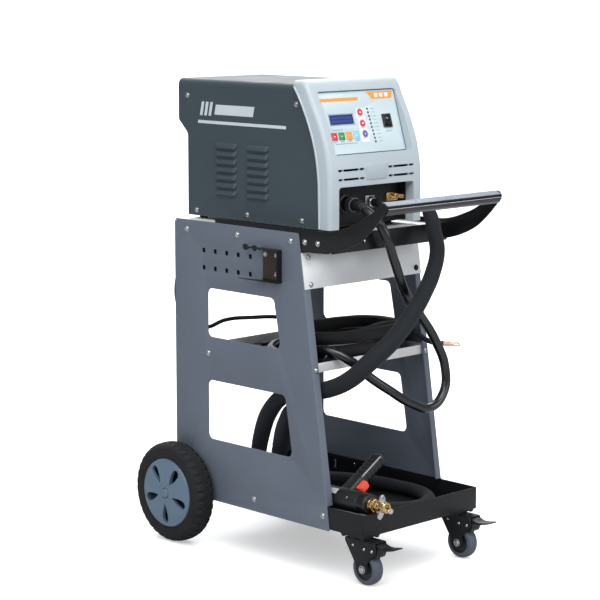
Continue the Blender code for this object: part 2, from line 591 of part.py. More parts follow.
CP_DOWN = Vector((0, -CP_SLOPE, -1)).normalized()
CP_OUT = Vector((0, -1, CP_SLOPE)).normalized()


def cp(u, s, n):
    """Point on the control panel: u across, s down the slope, n out of it."""
    return CP_TOP + Vector((u, 0, 0)) + CP_DOWN * s + CP_OUT * n


def cp_transform(bm):
    """Move a bmesh built with x = across, y = down the slope, z = outwards."""
    for v in bm.verts:
        v.co = cp(v.co.x, v.co.y, v.co.z)
    return bm


def cp_prism(name, pts, n0, n1, mat, holes=(), smooth=None, helper=False):
    return finish(name, cp_transform(prism_bm(pts, 'z', n0, n1, holes)), mat, smooth, helper)


cavity = prism("bezel_cavity_helper",
               [(-0.02, 0.733), (-0.1405, 0.733), (-0.1400, 0.768), (-0.1235, 0.7725), (cp_plane_y(0.905) + 0.0065, 0.9050),
                (cp_plane_y(0.905) + 0.0065, 0.9188), (-0.02, 0.9188)],
               'x', -0.1222, 0.1222, None, helper=True)
leg_l = box("bezel_leg_l_helper", (-0.1222, -0.1415, 0.600), (-0.1045, -0.02, 0.740), None, True)
leg_r = box("bezel_leg_r_helper", (0.1045, -0.1415, 0.600), (0.1222, -0.02, 0.740), None, True)
opening = box("bezel_opening_helper", (-RECESS_X, -0.20, 0.60), (RECESS_X, -0.02, RECESS_Z1), None, True)
pocket = cp_prism("bezel_pocket_helper", rect(-CP_W, CP_W, 0.0, CP_H), -0.0020, 0.060, None, helper=True)
window = cp_prism("bezel_window_helper", rect(-0.098, 0.098, 0.008, 0.117), -0.040, 0.010, None, helper=True)
vents = bmesh.new()
VENTS = ((-0.1000, -0.0905), (-0.0880, -0.0480), (-0.0455, -0.0340), (0.0340, 0.0435), (0.0460, 0.0860), (0.0885, 0.1000))
for zc in (0.7600, 0.7430):
    for x0, x1 in VENTS:
        b = box_bm((x0, -0.16, zc - 0.0011), (x1, -0.125, zc + 0.0011))
        tmp = bpy.data.meshes.new("tmp")
        bmesh.ops.recalc_face_normals(b, faces=b.faces[:])
        b.to_mesh(tmp)
        b.free()
        vents.from_mesh(tmp)
        bpy.data.meshes.remove(tmp)
vents_ob = finish("bezel_vent_helper", vents, None, helper=True)
boolean(bezel, 'DIFFERENCE', cavity, leg_l, leg_r, opening, pocket, window, vents_ob)

# ================================================ control panel and what it holds
KEYS = (("mode_key_red", -0.0805, "key_red"), ("mode_key_green", -0.0612, "key_green"),
        ("mode_key_orange", -0.0413, "key_orange"), ("mode_key_blue", -0.0214, "key_blue"))
KEY_S, KEY_HW, KEY_HH = 0.0863, 0.0078, 0.0071
ROUND = (("up_button", 0.0000, 0.0425, "key_red"), ("down_button", 0.0009, 0.0643, "key_red"),
         ("select_button", 0.0022, 0.0846, "key_purple"))
BTN_R = 0.0065
LCD = (-0.0834, -0.0209, 0.0453, 0.0637)
SW = (0.0679, 0.0621)            # centre of the rocker switch: across, down
SW_HW, SW_HH = 0.0118, 0.0132

cp_holes = [rect(LCD[0], LCD[1], LCD[2], LCD[3]),
            rect(SW[0] - SW_HW + 0.0015, SW[0] + SW_HW - 0.0015, SW[1] - SW_HH + 0.0015, SW[1] + SW_HH - 0.0015)]
for _, u, _m in KEYS:
    cp_holes.append(rect(u - KEY_HW - GAP, u + KEY_HW + GAP, KEY_S - KEY_HH - GAP, KEY_S + KEY_HH + GAP))
for _, u, s, _m in ROUND:
    cp_holes.append(circle(u, s, BTN_R + GAP, 16))
cp_prism("control_panel", rect(-CP_W + 0.0005, CP_W - 0.0005, 0.0005, CP_H - 0.0005), -0.0015, 0.0, "panel_white",
         holes=cp_holes)
cp_prism("lcd_display", rect(LCD[0] + GAP, LCD[1] - GAP, LCD[2] + GAP, LCD[3] - GAP), -0.0060, -0.0004, "lcd_blue")
for nm, u, m in KEYS:
    cp_prism(nm, rect(u - KEY_HW, u + KEY_HW, KEY_S - KEY_HH, KEY_S + KEY_HH), -0.0014, 0.0008, m)
for nm, u, s, m in ROUND:
    cp_prism(nm, circle(u, s, BTN_R, 16), -0.0014, 0.0010, m, smooth=40)

sw_frame = cp_prism("power_switch_frame", rect(SW[0] - SW_HW, SW[0] + SW_HW, SW[1] - SW_HH, SW[1] + SW_HH),
                    GAP, 0.0022, "black_plastic")
sw_body = cp_prism("switch_body_helper", rect(SW[0] - SW_HW + 0.0018, SW[0] + SW_HW - 0.0018, SW[1] - SW_HH + 0.0018,
                                              SW[1] + SW_HH - 0.0018), -0.0160, 0.0010, None, helper=True)
sw_well = cp_prism("switch_well_helper", rect(SW[0] - 0.0070, SW[0] + 0.0070, SW[1] - 0.0103, SW[1] + 0.0103),
                   -0.0120, 0.0100, None, helper=True)
boolean(sw_frame, 'UNION', sw_body)
boolean(sw_frame, 'DIFFERENCE', sw_well)

ROCK_TILT = math.radians(8)
rock = bmesh.new()
rock_prof = [(-0.0092, 0.0042), (0.0, 0.0022), (0.0092, 0.0042), (0.0086, -0.0045), (0.0, -0.0075), (-0.0086, -0.0045)]
rock = prism_bm(rock_prof, 'x', -0.0066, 0.0066)
for v in rock.verts:
    y, z = v.co.y, v.co.z
    ry = y * math.cos(ROCK_TILT) - z * math.sin(ROCK_TILT)
    rz = y * math.sin(ROCK_TILT) + z * math.cos(ROCK_TILT)
    v.co = cp(SW[0] + v.co.x, SW[1] + ry, rz)
finish("power_rocker", rock, "black_plastic")

# circuit board on the back of the control panel's frame
cp_prism("control_board", rect(-0.095, 0.040, 0.012, 0.113), -0.0250, -0.0234, "board_green")

# ===================================================== recess, sockets, terminals
lx, ly0, ly1, lz0, lz1 = 0.1010, -0.1250, -0.1050, 0.6535, 0.7283
liner_faces = [
    [(-lx, ly1, lz0), (lx, ly1, lz0), (lx, ly1, lz1), (-lx, ly1, lz1)],
    [(-lx, ly1, lz0), (-lx, ly0, lz0), (-lx, ly0, lz1), (-lx, ly1, lz1)],
    [(lx, ly1, lz0), (lx, ly0, lz0), (lx, ly0, lz1), (lx, ly1, lz1)],
    [(-lx, ly1, lz1), (lx, ly1, lz1), (lx, ly0, lz1), (-lx, ly0, lz1)],
    [(-lx, ly1, lz0), (lx, ly1, lz0), (lx, ly0, lz0), (-lx, ly0, lz0)],
]
orient_sheet(sheet("connector_plate", liner_faces, SHEET, "black_plastic"), (0, -0.125, 0.69))
plate_y = ly1 - SHEET - GAP       # front face of the plate, less a gap
SOCK = (-0.047, 0.6930)
lathe("weld_output_socket", [(0, plate_y), (0.0185, plate_y), (0.0185, plate_y - 0.003), (0.0140, plate_y - 0.004),
                             (0.0140, plate_y - 0.013), (0.0155, plate_y - 0.0135), (0.0155, plate_y - 0.017),
                             (0.0110, plate_y - 0.018), (0, plate_y - 0.018)],
      'y', (SOCK[0], 0, SOCK[1]), 16, "black_plastic", closed=False)
CSOCK = (0.0185, 0.6915)
cs = prism("control_socket", rounded(rect(CSOCK[0] - 0.0125, CSOCK[0] + 0.0125, CSOCK[1] - 0.0125, CSOCK[1] + 0.0125),
                                     0.002, 2), 'y', plate_y - 0.0025, plate_y, "steel")
cs2 = lathe("control_socket_helper", [(0, plate_y - 0.001), (0.0105, plate_y - 0.001), (0.0105, plate_y - 0.012),
                                      (0.0090, plate_y - 0.013), (0, plate_y - 0.013)],
            'y', (CSOCK[0], 0, CSOCK[1]), 20, None, closed=False, helper=True)
boolean(cs, 'UNION', cs2)
BT = ((0.0730, 0.6960), (0.0920, 0.6985))
bt = prism("brass_terminal", rounded(rect(0.0630, 0.0990, 0.6885, 0.7060), 0.003, 2), 'y', plate_y - 0.003, plate_y,
           "brass")
for i, (bx, bz) in enumerate(BT):
    st = lathe("terminal_helper_%d" % i, [(0, plate_y - 0.001), (0.0062, plate_y - 0.001), (0.0062, plate_y - 0.009),
                                          (0.0045, plate_y - 0.0095), (0.0045, plate_y - 0.020),
                                          (0.0035, plate_y - 0.021), (0, plate_y - 0.021)],
               'y', (bx, 0, bz), 12, None, closed=False, helper=True)
    boolean(bt, 'UNION', st)

# ================================================================ transformer
core = prism("transformer_core", rect(0.040, 0.165, 0.6535, 0.760), 'x', -0.040, 0.040, "core_steel",
             holes=[rect(0.062, 0.090, 0.675, 0.739), rect(0.115, 0.143, 0.675, 0.739)])
coil_o = rounded(rect(-0.064, 0.064, 0.0640, 0.1410), 0.010, 2)
coil_i = rect(-0.0406, 0.0406, 0.0894, 0.1156)
prism("transformer_coil", coil_o, 'z', 0.678, 0.736, "copper", holes=[coil_i])

# ==================================================================== the cables
tube("weld_cable", [(-0.047, -0.1268, 0.6928), (-0.052, -0.150, 0.6915), (-0.054, -0.180, 0.6800),
                    (-0.047, -0.203, 0.6560), (-0.0135, -0.205, 0.5881), (0.018, -0.200, 0.5315),
                    (0.046, -0.196, 0.4990), (0.074, -0.192, 0.4741), (0.1175, -0.192, 0.4201),
                    (0.1410, -0.196, 0.3650), (0.1330, -0.200, 0.3187), (0.0950, -0.200, 0.2940),
                    (0.0500, -0.195, 0.3065), (-0.0058, -0.185, 0.3404), (-0.045, -0.172, 0.3688),
                    (-0.0785, -0.158, 0.4000), (-0.105, -0.118, 0.4205), (-0.118, -0.060, 0.4120),
                    (-0.110, 0.010, 0.3990), (-0.070, 0.070, 0.3985), (0.0, 0.095, 0.3990), (0.060, 0.070, 0.3990)],
     0.0090, "cable_black", res=2, bevel=2)
HOSE_PATH = ((0.0185, -0.1210, 0.6915, 0.30), (0.0190, -0.1350, 0.6905, 0.30), (0.0320, -0.1600, 0.6900, 0.32),
             (0.0520, -0.1820, 0.6920, 0.36), (0.0690, -0.1980, 0.6900, 0.50), (0.0765, -0.2090, 0.6740, 0.84),
             (0.0795, -0.2190, 0.6400, 0.88), (0.0800, -0.2270, 0.6000, 0.88), (0.0620, -0.2310, 0.5600, 0.92),
             (0.0352, -0.2350, 0.5272, 0.96), (-0.003, -0.2350, 0.4858, 1.0), (-0.0438, -0.2270, 0.4440, 1.0),
             (-0.0850, -0.2080, 0.4060, 1.0), (-0.1080, -0.1830, 0.3750, 1.0), (-0.1220, -0.1400, 0.3520, 1.0),
             (-0.1200, -0.0800, 0.3400, 1.0), (-0.1160, -0.0200, 0.3240, 1.0), (-0.1120, 0.0300, 0.2850, 1.0),
             (-0.1080, 0.0600, 0.2300, 1.0), (-0.1000, 0.0780, 0.1750, 0.92), (-0.0750, 0.0980, 0.1320, 0.80),
             (-0.0200, 0.1080, 0.1125, 0.76), (0.0500, 0.0850, 0.1125, 0.76), (0.1000, 0.0200, 0.1125, 0.76),
             (0.1250, -0.0800, 0.1125, 0.76), (0.1150, -0.1700, 0.1125, 0.76), (0.0700, -0.2150, 0.1125, 0.76),
             (0.0100, -0.2150, 0.1125, 0.76), (-0.0350, -0.1700, 0.1125, 0.76), (-0.0500, -0.0900, 0.1125, 0.76),
             (-0.0650, -0.0200, 0.1140, 0.76), (-0.0950, 0.0130, 0.1300, 0.82), (-0.1120, 0.0080, 0.1700, 0.94),
             (-0.1160, -0.0020, 0.2200, 0.98), (-0.1180, -0.0200, 0.2700, 0.98), (-0.1190, -0.0480, 0.2960, 0.94),
             (-0.1190, -0.0720, 0.2700, 0.94), (-0.1180, -0.0680, 0.2200, 0.88), (-0.1160, -0.0470, 0.1800, 0.76),
             (-0.1155, -0.0500, 0.1500, 0.66), (-0.1160, -0.0780, 0.1427, 0.62), (-0.1160, -0.0872, 0.1430, 0.62))
tube("hose_sleeve", [p[:3] for p in HOSE_PATH], 0.0168, "sleeve_navy", res=2, bevel=2, scale=[p[3] for p in HOSE_PATH])
tube("power_cord", [(CORD_HOLE[0], 0.2500, CORD_HOLE[1]), (CORD_HOLE[0], 0.2750, 0.6850), (0.0560, 0.2920, 0.6600), (-0.0100, 0.2960, 0.6250), (-0.0820, 0.2940, 0.5850), (-0.1220, 0.2900, 0.5250),
                    (-0.1280, 0.2820, 0.4600), (-0.1190, 0.2600, 0.4230), (-0.1044, 0.2200, 0.4239), (-0.0766, 0.2000, 0.4372),
                    (-0.0411, 0.150, 0.4445), (-0.0173, 0.120, 0.4463), (0.0300, 0.095, 0.4380), (0.0700, 0.086, 0.4226),
                    (0.1080, 0.090, 0.4040), (0.1250, 0.110, 0.3935), (0.1000, 0.132, 0.3912), (0.030, 0.138, 0.3912),
                    (-0.040, 0.132, 0.3912)],
     0.0040, "cable_black", res=2, bevel=1)

# the earth lead: a thick sleeved coil of two turns on the shelf, then the bare lead
COIL_C, COIL_A, COIL_B = (0.0240, -0.0420), 0.1160, 0.0700
soft = lambda v: math.copysign(abs(v) ** 0.72, v)
coil_path = []
for k in range(29):
    a = math.radians(120 + k * 30)
    up = min(1.0, max(0.0, (k - 10) / 5.0))
    coil_path.append((COIL_C[0] + COIL_A * soft(math.cos(a)), COIL_C[1] + COIL_B * soft(math.sin(a)), 0.4096 + 0.0262 * up, 1.0))
coil_path += [(0.1390, -0.0900, 0.4330, 0.80), (0.1380, -0.1200, 0.4260, 0.46), (0.1385, -0.1480, 0.4150, 0.40),
              (0.1450, -0.1660, 0.4100, 0.40), (0.1620, -0.1745, 0.4080, 0.40)]
tube("ground_cable", [p[:3] for p in coil_path], 0.0124, "cable_black", res=2, bevel=2, scale=[p[3] for p in coil_path])

# ====================================================================== the gun
gun_dir = (GUN_FRONT - GUN_REAR).normalized()
gun_side = Vector((1, 0, 0)) - gun_dir * gun_dir.x
gun_side.normalize()
gun_up = gun_side.cross(gun_dir)
if gun_up.z < 0:
    gun_up = -gun_up
GUN_L = (GUN_FRONT - GUN_REAR).length
GUN_M = Matrix((
    (gun_side.x, gun_dir.x, gun_up.x, GUN_REAR.x),
    (gun_side.y, gun_dir.y, gun_up.y, GUN_REAR.y),
    (gun_side.z, gun_dir.z, gun_up.z, GUN_REAR.z),
    (0, 0, 0, 1)))
# the gun lies on its side: its grip points across the tray and a little up
GRIP_ANG = math.radians(33)


def gun_bm(bm):
    bmesh.ops.transform(bm, matrix=GUN_M, verts=bm.verts[:])
    return bm


gun = finish("gun_body", gun_bm(lathe_bm([(0, 0.0), (0.0165, 0.0), (0.0205, 0.0045), (0.0210, 0.020), (0.0210, GUN_L - 0.022),
                                          (0.0195, GUN_L - 0.018), (0.0195, GUN_L), (0.0185, GUN_L + 0.002),
                                          (0.0, GUN_L + 0.002)],
                                         'y', (0, 0, 0), 20, closed=False)), "black_plastic", smooth=35)
grip_dir = Vector((math.cos(GRIP_ANG), 0.0, math.sin(GRIP_ANG)))
grip_bm = prism_bm(rounded(rect(-0.0160, 0.0160, -0.0120, 0.0120), 0.0075, 3), 'z', 0.004, 0.116)
gz = grip_dir
gx_ = (Vector((0, 1, 0)) - gz * gz.y).normalized()
gy_ = gz.cross(gx_)
GRIP_AT = 0.088                   # along the barrel from its rear
GRIP_M = GUN_M @ Matrix(((gx_.x, gy_.x, gz.x, 0), (gx_.y, gy_.y, gz.y, GRIP_AT), (gx_.z, gy_.z, gz.z, 0), (0, 0, 0, 1)))
bmesh.ops.transform(grip_bm, matrix=GRIP_M, verts=grip_bm.verts[:])
grip_h = finish("gun_grip_helper", grip_bm, None, helper=True)
boolean(gun, 'UNION', grip_h)
# trigger slot in the front of the grip, and the trigger in it
slot_bm = box_bm((0.0110, -0.0062, 0.0265), (0.0360, 0.0062, 0.0495))
bmesh.ops.transform(slot_bm, matrix=GRIP_M, verts=slot_bm.verts[:])
slot_h = finish("gun_slot_helper", slot_bm, None, helper=True)
boolean(gun, 'DIFFERENCE', slot_h)
trig_bm = prism_bm([(0.0155, 0.0272), (0.0270, 0.0272), (0.0300, 0.0310), (0.0305, 0.0420), (0.0280, 0.0488), (0.0155, 0.0488)],
                   'y', -0.0058, 0.0058)
bmesh.ops.transform(trig_bm, matrix=GRIP_M, verts=trig_bm.verts[:])
finish("gun_trigger", trig_bm, "trigger_red")

# brass electrode holder with its three-lobed steel star and the tip
tip0 = GUN_L + 0.0023
hold = finish("gun_electrode_holder", gun_bm(lathe_bm(
    [(0, tip0), (0.0125, tip0), (0.0125, tip0 + 0.012), (0.0095, tip0 + 0.013), (0.0095, tip0 + 0.024),
     (0.0105, tip0 + 0.0245), (0.0105, tip0 + 0.042), (0.0060, tip0 + 0.043), (0.0060, tip0 + 0.038),
     (0.0, tip0 + 0.038)],
    'y', (0, 0, 0), 16, closed=False)), "brass", smooth=35)
lobes = []
for a in (math.radians(-126), math.radians(-31), math.radians(100)):
    for d, r in ((-0.48, 0.0125), (-0.40, 0.0190), (-0.22, 0.0238), (0.0, 0.0248), (0.22, 0.0238), (0.40, 0.0190), (0.48, 0.0125)):
        lobes.append((r * math.cos(a + d), r * math.sin(a + d)))
star_bm = gun_bm(prism_bm(lobes, 'y', tip0 + 0.0325, tip0 + 0.0360))
star_h = finish("gun_star_helper", star_bm, None, helper=True)
boolean(hold, 'UNION', star_h)

# ------------------------------------------------ origins on the joints' axes
def set_pivot(name, point):
    """Move an object's own origin to a point on its joint's axis."""
    ob = bpy.data.objects[name]
    ob.data.transform(Matrix.Translation(-Vector(point)))
    ob.location = point


def pivot_empty(name, point, members):
    """An empty on a joint's axis that carries the pieces that move together."""
    e = bpy.data.objects.new(name, None)
    bpy.context.scene.collection.objects.link(e)
    e.location = point
    e.empty_display_size = 0.02
    for m in members:
        ob = bpy.data.objects[m]
        ob.parent = e
        ob.matrix_parent_inverse = Matrix.Translation(-Vector(point))


for side, sx in (("left", -1), ("right", 1)):
    pivot_empty("wheel_pivot_" + side, (sx * WHEEL_X, WHEEL_Y, WHEEL_R),
                ["tyre_" + side, "wheel_rim_" + side, "hub_cap_" + side])
    set_pivot("caster_wheel_" + side, (sx * CASTER_X, CASTER_WHEEL_Y, CASTER_R))
    set_pivot("brake_pedal_" + side, (sx * CASTER_X, PEDAL_PIVOT[0], PEDAL_PIVOT[1]))
    pivot_empty("caster_pivot_" + side, (sx * CASTER_X, CASTER_SWIVEL_Y, 0.090),
                ["caster_fork_" + side, "caster_axle_" + side])
set_pivot("power_rocker", cp(SW[0], SW[1], 0.0))
for nm, u, _m in KEYS:
    set_pivot(nm, cp(u, KEY_S, 0.0))
for nm, u, s, _m in ROUND:
    set_pivot(nm, cp(u, s, 0.0))
set_pivot("gun_trigger", GRIP_M @ Vector((0.0200, 0.0, 0.0375)))
pivot_empty("fan_pivot", (FAN_C[0], 0.240, FAN_C[1]), ["fan_rotor"])
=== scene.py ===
# Looks of the spot welder on its trolley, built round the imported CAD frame.
# Metres, +Z up, front towards -Y.
import bpy
import bmesh
import math
from mathutils import Vector, Matrix

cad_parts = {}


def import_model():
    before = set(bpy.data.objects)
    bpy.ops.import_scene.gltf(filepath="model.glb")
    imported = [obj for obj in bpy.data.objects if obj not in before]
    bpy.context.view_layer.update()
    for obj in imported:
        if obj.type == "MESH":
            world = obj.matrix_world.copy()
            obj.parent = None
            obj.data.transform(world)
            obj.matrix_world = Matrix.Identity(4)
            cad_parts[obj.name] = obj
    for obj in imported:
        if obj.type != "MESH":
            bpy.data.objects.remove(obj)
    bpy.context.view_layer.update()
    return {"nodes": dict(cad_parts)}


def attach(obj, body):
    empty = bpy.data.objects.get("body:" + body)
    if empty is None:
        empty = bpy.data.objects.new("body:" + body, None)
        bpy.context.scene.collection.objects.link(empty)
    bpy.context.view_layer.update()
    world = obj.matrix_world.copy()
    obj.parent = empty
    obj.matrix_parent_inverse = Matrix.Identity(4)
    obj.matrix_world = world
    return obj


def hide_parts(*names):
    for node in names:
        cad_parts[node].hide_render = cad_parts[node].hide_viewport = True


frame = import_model()
scene = bpy.context.scene
V = Vector
CAD = frame["nodes"]


# ================================================================== materials
class Mat:
    """A small helper that builds one procedural material."""

    def __init__(self, name):
        self.m = bpy.data.materials.new(name)
        self.m.use_nodes = True
        self.nt = self.m.node_tree
        self.b = self.nt.nodes["Principled BSDF"]
        tc = self.nt.nodes.new("ShaderNodeTexCoord")
        self.obj = tc.outputs["Object"]
        self.uv = tc.outputs["UV"]

    def node(self, kind, **kw):
        n = self.nt.nodes.new(kind)
        for k, v in kw.items():
            setattr(n, k, v)
        return n

    def link(self, a, b):
        self.nt.links.new(a, b)

    def val(self, socket, v):
        if hasattr(v, "links") or isinstance(v, bpy.types.NodeSocket):
            self.link(v, socket)
        else:
            socket.default_value = v

    def scaled(self, scale, source=None):
        mp = self.node("ShaderNodeMapping")
        mp.inputs["Scale"].default_value = scale if isinstance(scale, tuple) else (scale,) * 3
        self.link(source or self.obj, mp.inputs["Vector"])
        return mp.outputs["Vector"]

    def noise(self, scale, detail=3.0, rough=0.5, source=None):
        n = self.node("ShaderNodeTexNoise")
        n.inputs["Scale"].default_value = 1.0
        n.inputs["Detail"].default_value = detail
        n.inputs["Roughness"].default_value = rough
        self.link(self.scaled(scale, source), n.inputs["Vector"])
        return n.outputs["Fac"]

    def math(self, op, a, b=0.0, clamp=False):
        n = self.node("ShaderNodeMath", operation=op, use_clamp=clamp)
        self.val(n.inputs[0], a)
        self.val(n.inputs[1], b)
        return n.outputs[0]

    def remap(self, x, a0, a1, b0, b1):
        n = self.node("ShaderNodeMapRange")
        self.val(n.inputs["Value"], x)
        for k, v in (("From Min", a0), ("From Max", a1), ("To Min", b0), ("To Max", b1)):
            n.inputs[k].default_value = v
        return n.outputs["Result"]

    def mix(self, fac, a, b):
        n = self.node("ShaderNodeMix", data_type='RGBA')
        self.val(n.inputs["Factor"], fac)
        self.val(n.inputs["A"], a if not isinstance(a, tuple) else a + (1.0,))
        self.val(n.inputs["B"], b if not isinstance(b, tuple) else b + (1.0,))
        return n.outputs["Result"]

    def bump(self, height, strength, dist, normal=None):
        n = self.node("ShaderNodeBump")
        n.inputs["Strength"].default_value = strength
        n.inputs["Distance"].default_value = dist
        self.link(height, n.inputs["Height"])
        if normal is not None:
            self.link(normal, n.inputs["Normal"])
        return n.outputs["Normal"]


def srgb(h):
    """#rrggbb to linear."""
    c = [int(h[i:i + 2], 16) / 255 for i in (1, 3, 5)]
    return tuple(x / 12.92 if x <= 0.04045 else ((x + 0.055) / 1.055) ** 2.4 for x in c)


def surf(name, col, rough=0.45, metal=0.0, vary=0.06, vary_scale=7.0, rough_vary=0.06, grain=0.10, grain_scale=900.0,
         grain_dist=0.0002, edge=0.0006, wear=None, wear_amount=0.5, coat=0.0, spec=0.5, dust=0.0, sheen=0.0,
         stretch=None, floor=None):
    """Painted, moulded or metal surface: tone and gloss drift, fine grain, softened and lightly worn edges."""
    m = Mat(name)
    c = srgb(col) if isinstance(col, str) else col
    tone = m.noise(vary_scale, 4.0)
    k = m.remap(tone, 0.3, 0.7, 0.0, 1.0)
    dark = tuple(x * (1 - vary) for x in c)
    light = tuple(min(1.0, x * (1 + vary) + 0.002) for x in c)
    colour = m.mix(k, dark, light)
    fine = m.noise(stretch or grain_scale, 2.0)
    colour = m.mix(m.remap(fine, 0.35, 0.65, 0.0, 0.10 if metal < 0.5 else 0.20), colour,
                   tuple(x * 0.78 for x in c))
    bev = None
    if edge:
        bn = m.node("ShaderNodeBevel", samples=4)
        bn.inputs["Radius"].default_value = edge
        bev = bn.outputs["Normal"]
    if wear and edge:
        geo = m.node("ShaderNodeNewGeometry")
        dot = m.node("ShaderNodeVectorMath", operation='DOT_PRODUCT')
        m.link(bev, dot.inputs[0])
        m.link(geo.outputs["True Normal"], dot.inputs[1])
        mask = m.remap(dot.outputs["Value"], 0.99, 0.80, 0.0, 1.0)
        patch = m.remap(m.noise(90.0, 4.0), 0.45, 0.62, 0.0, wear_amount)
        colour = m.mix(m.math('MULTIPLY', mask, patch, True), colour, srgb(wear) if isinstance(wear, str) else wear)
    if dust:
        geo = m.node("ShaderNodeNewGeometry")
        sep = m.node("ShaderNodeSeparateXYZ")
        m.link(geo.outputs["Normal"], sep.inputs[0])
        up = m.remap(sep.outputs["Z"], 0.6, 1.0, 0.0, dust)
        colour = m.mix(m.math('MULTIPLY', up, m.remap(m.noise(25.0, 5.0), 0.35, 0.7, 0.2, 1.0), True), colour,
                       srgb("#8b8d8c"))
    # floor: upward-facing faces turn towards this near-black colour with a mottle; painted shade, used for the shaded
    # inside of the middle shelf
    if floor:
        geo = m.node("ShaderNodeNewGeometry")
        sep = m.node("ShaderNodeSeparateXYZ")
        m.link(geo.outputs["True Normal"], sep.inputs[0])
        up = m.remap(sep.outputs["Z"], 0.90, 0.98, 0.0, 1.0)
        colour = m.mix(up, colour, m.mix(m.remap(m.noise(14.0, 4.0), 0.35, 0.7, 0.0, 1.0), srgb(floor), tuple(x * 2.2 for x in srgb(floor))))
    m.link(colour, m.b.inputs["Base Color"])
    m.b.inputs["Metallic"].default_value = metal
    r = m.remap(m.noise(22.0, 3.0), 0.3, 0.7, max(0.03, rough - rough_vary), min(1.0, rough + rough_vary))
    m.link(r, m.b.inputs["Roughness"])
    m.link(m.bump(fine, grain, grain_dist, bev), m.b.inputs["Normal"])
    m.b.inputs["Coat Weight"].default_value = coat
    m.b.inputs["Coat Roughness"].default_value = 0.12
    m.b.inputs["Specular IOR Level"].default_value = spec
    m.b.inputs["Sheen Weight"].default_value = sheen
    return m.m


def braid(name, col, light, turns, pitch, rough=0.75, strength=0.6):
    """Braided sleeve: two crossing sets of strands from the sweep's own UV (u round, v along in metres)."""
    m = Mat(name)
    sep = m.node("ShaderNodeSeparateXYZ")
    m.link(m.uv, sep.inputs[0])
    u = m.math('MULTIPLY', sep.outputs["X"], turns * 2 * math.pi)
    v = m.math('MULTIPLY', sep.outputs["Y"], 2 * math.pi / pitch)
    a = m.math('SINE', m.math('ADD', u, v))
    b = m.math('SINE', m.math('SUBTRACT', u, v))
    over = m.math('GREATER_THAN', m.math('SINE', v), 0.0)
    w1 = m.math('ABSOLUTE', a)
    w2 = m.math('ABSOLUTE', b)
    h = m.math('MAXIMUM', m.math('MULTIPLY', w1, m.math('ADD', m.math('MULTIPLY', over, 0.25), 0.75)),
               m.math('MULTIPLY', w2, m.math('SUBTRACT', 1.0, m.math('MULTIPLY', over, 0.25))))
    tone = m.remap(m.noise(40.0, 4.0), 0.3, 0.7, 0.0, 1.0)
    c0 = m.mix(tone, srgb(col), tuple(x * 1.5 for x in srgb(col)))
    colour = m.mix(m.remap(h, 0.55, 1.0, 0.0, 0.55), c0, srgb(light))
    m.link(colour, m.b.inputs["Base Color"])
    m.b.inputs["Roughness"].default_value = rough
    m.b.inputs["Specular IOR Level"].default_value = 0.35
    m.b.inputs["Sheen Weight"].default_value = 0.06
    m.b.inputs["Sheen Roughness"].default_value = 0.5
    fuzz = m.noise(1500.0, 2.0)
    n1 = m.bump(h, strength, 0.0008)
    m.link(m.bump(fuzz, 0.25, 0.0002, n1), m.b.inputs["Normal"])
    return m.m


M = {}
M["panel"] = surf("panel_powder", "#636b78", 0.50, spec=0.40, vary=0.05, grain=0.35, grain_scale=1400.0, wear="#9da1ab",
                  wear_amount=0.35, edge=0.0008)
M["black_coat"] = surf("black_powder", "#141618", 0.38, vary=0.12, grain=0.22, grain_scale=1100.0, wear="#2c2e31",
                       wear_amount=0.4, dust=0.03, spec=0.30)
M["gloss_black"] = surf("gloss_black", "#111214", 0.30, vary=0.10, grain=0.10, grain_scale=800.0, wear="#2a2c2e",
                        wear_amount=0.35, coat=0.10, spec=0.30)
M["silver"] = surf("silver_sheet", "#e4e6e6", 0.46, metal=0.40, vary=0.05, grain=0.30, grain_scale=700.0,
                   rough_vary=0.08)
# silver sheet whose upward faces carry painted shade (near black) for the shaded inside of the shelf
M["shelf"] = surf("shelf_sheet", "#e4e6e6", 0.50, metal=0.30, vary=0.07, vary_scale=40.0, grain=0.30, grain_scale=700.0,
                  rough_vary=0.08, floor="#1b1d1f")
M["cover"] = surf("cover_paint", "#39454c", 0.50, vary=0.06, vary_scale=3.0, grain=0.16, grain_scale=1200.0, wear="#6f7c82",
                  wear_amount=0.35, edge=0.0008, spec=0.38)
M["bezel"] = surf("bezel_moulding", "#b0bcc3", 0.42, vary=0.035, grain=0.30, grain_scale=1500.0, edge=0.0012)
# lighter copy of the bezel colour for the bead along the lip: painted highlight where the rounded lip faces the light
M["bezel_light"] = surf("bezel_bead", "#bfcad0", 0.38, vary=0.03, grain=0.25, grain_scale=1500.0, edge=0.0010)
M["foil"] = surf("panel_foil", "#c4d5db", 0.32, vary=0.025, grain=0.10, grain_scale=1800.0, edge=0.0003, coat=0.2)
# dark blue-grey for a thin strip on the foil: painted shadow at the bottom of the panel recess
M["line_dark"] = surf("panel_painted_shadow_mat", "#3a4a52", 0.5, vary=0.05, grain=0.08, edge=0.0)
M["foil_card"] = surf("foil_card", "#e3ebee", 0.35, vary=0.02, grain=0.08, edge=0.0)
M["foil_orange"] = surf("foil_orange", "#ee9a3a", 0.35, vary=0.05, grain=0.08, edge=0.0)
M["foil_grey"] = surf("foil_grey", "#8fa3ad", 0.40, vary=0.05, grain=0.08, edge=0.0)
M["foil_pink"] = surf("foil_pink", "#eac6ca", 0.35, vary=0.05, grain=0.08, edge=0.0)
M["foil_lilac"] = surf("foil_lilac", "#cfcde2", 0.35, vary=0.05, grain=0.08, edge=0.0)
M["foil_white"] = surf("foil_white", "#f0f3f4", 0.35, vary=0.02, grain=0.08, edge=0.0)
M["lcd"] = surf("lcd_glass", "#1c2a66", 0.12, vary=0.15, vary_scale=60.0, grain=0.02, edge=0.0, coat=0.8)
M["lcd_cell"] = surf("lcd_cell", "#33458c", 0.15, vary=0.10, grain=0.02, edge=0.0, coat=0.6)
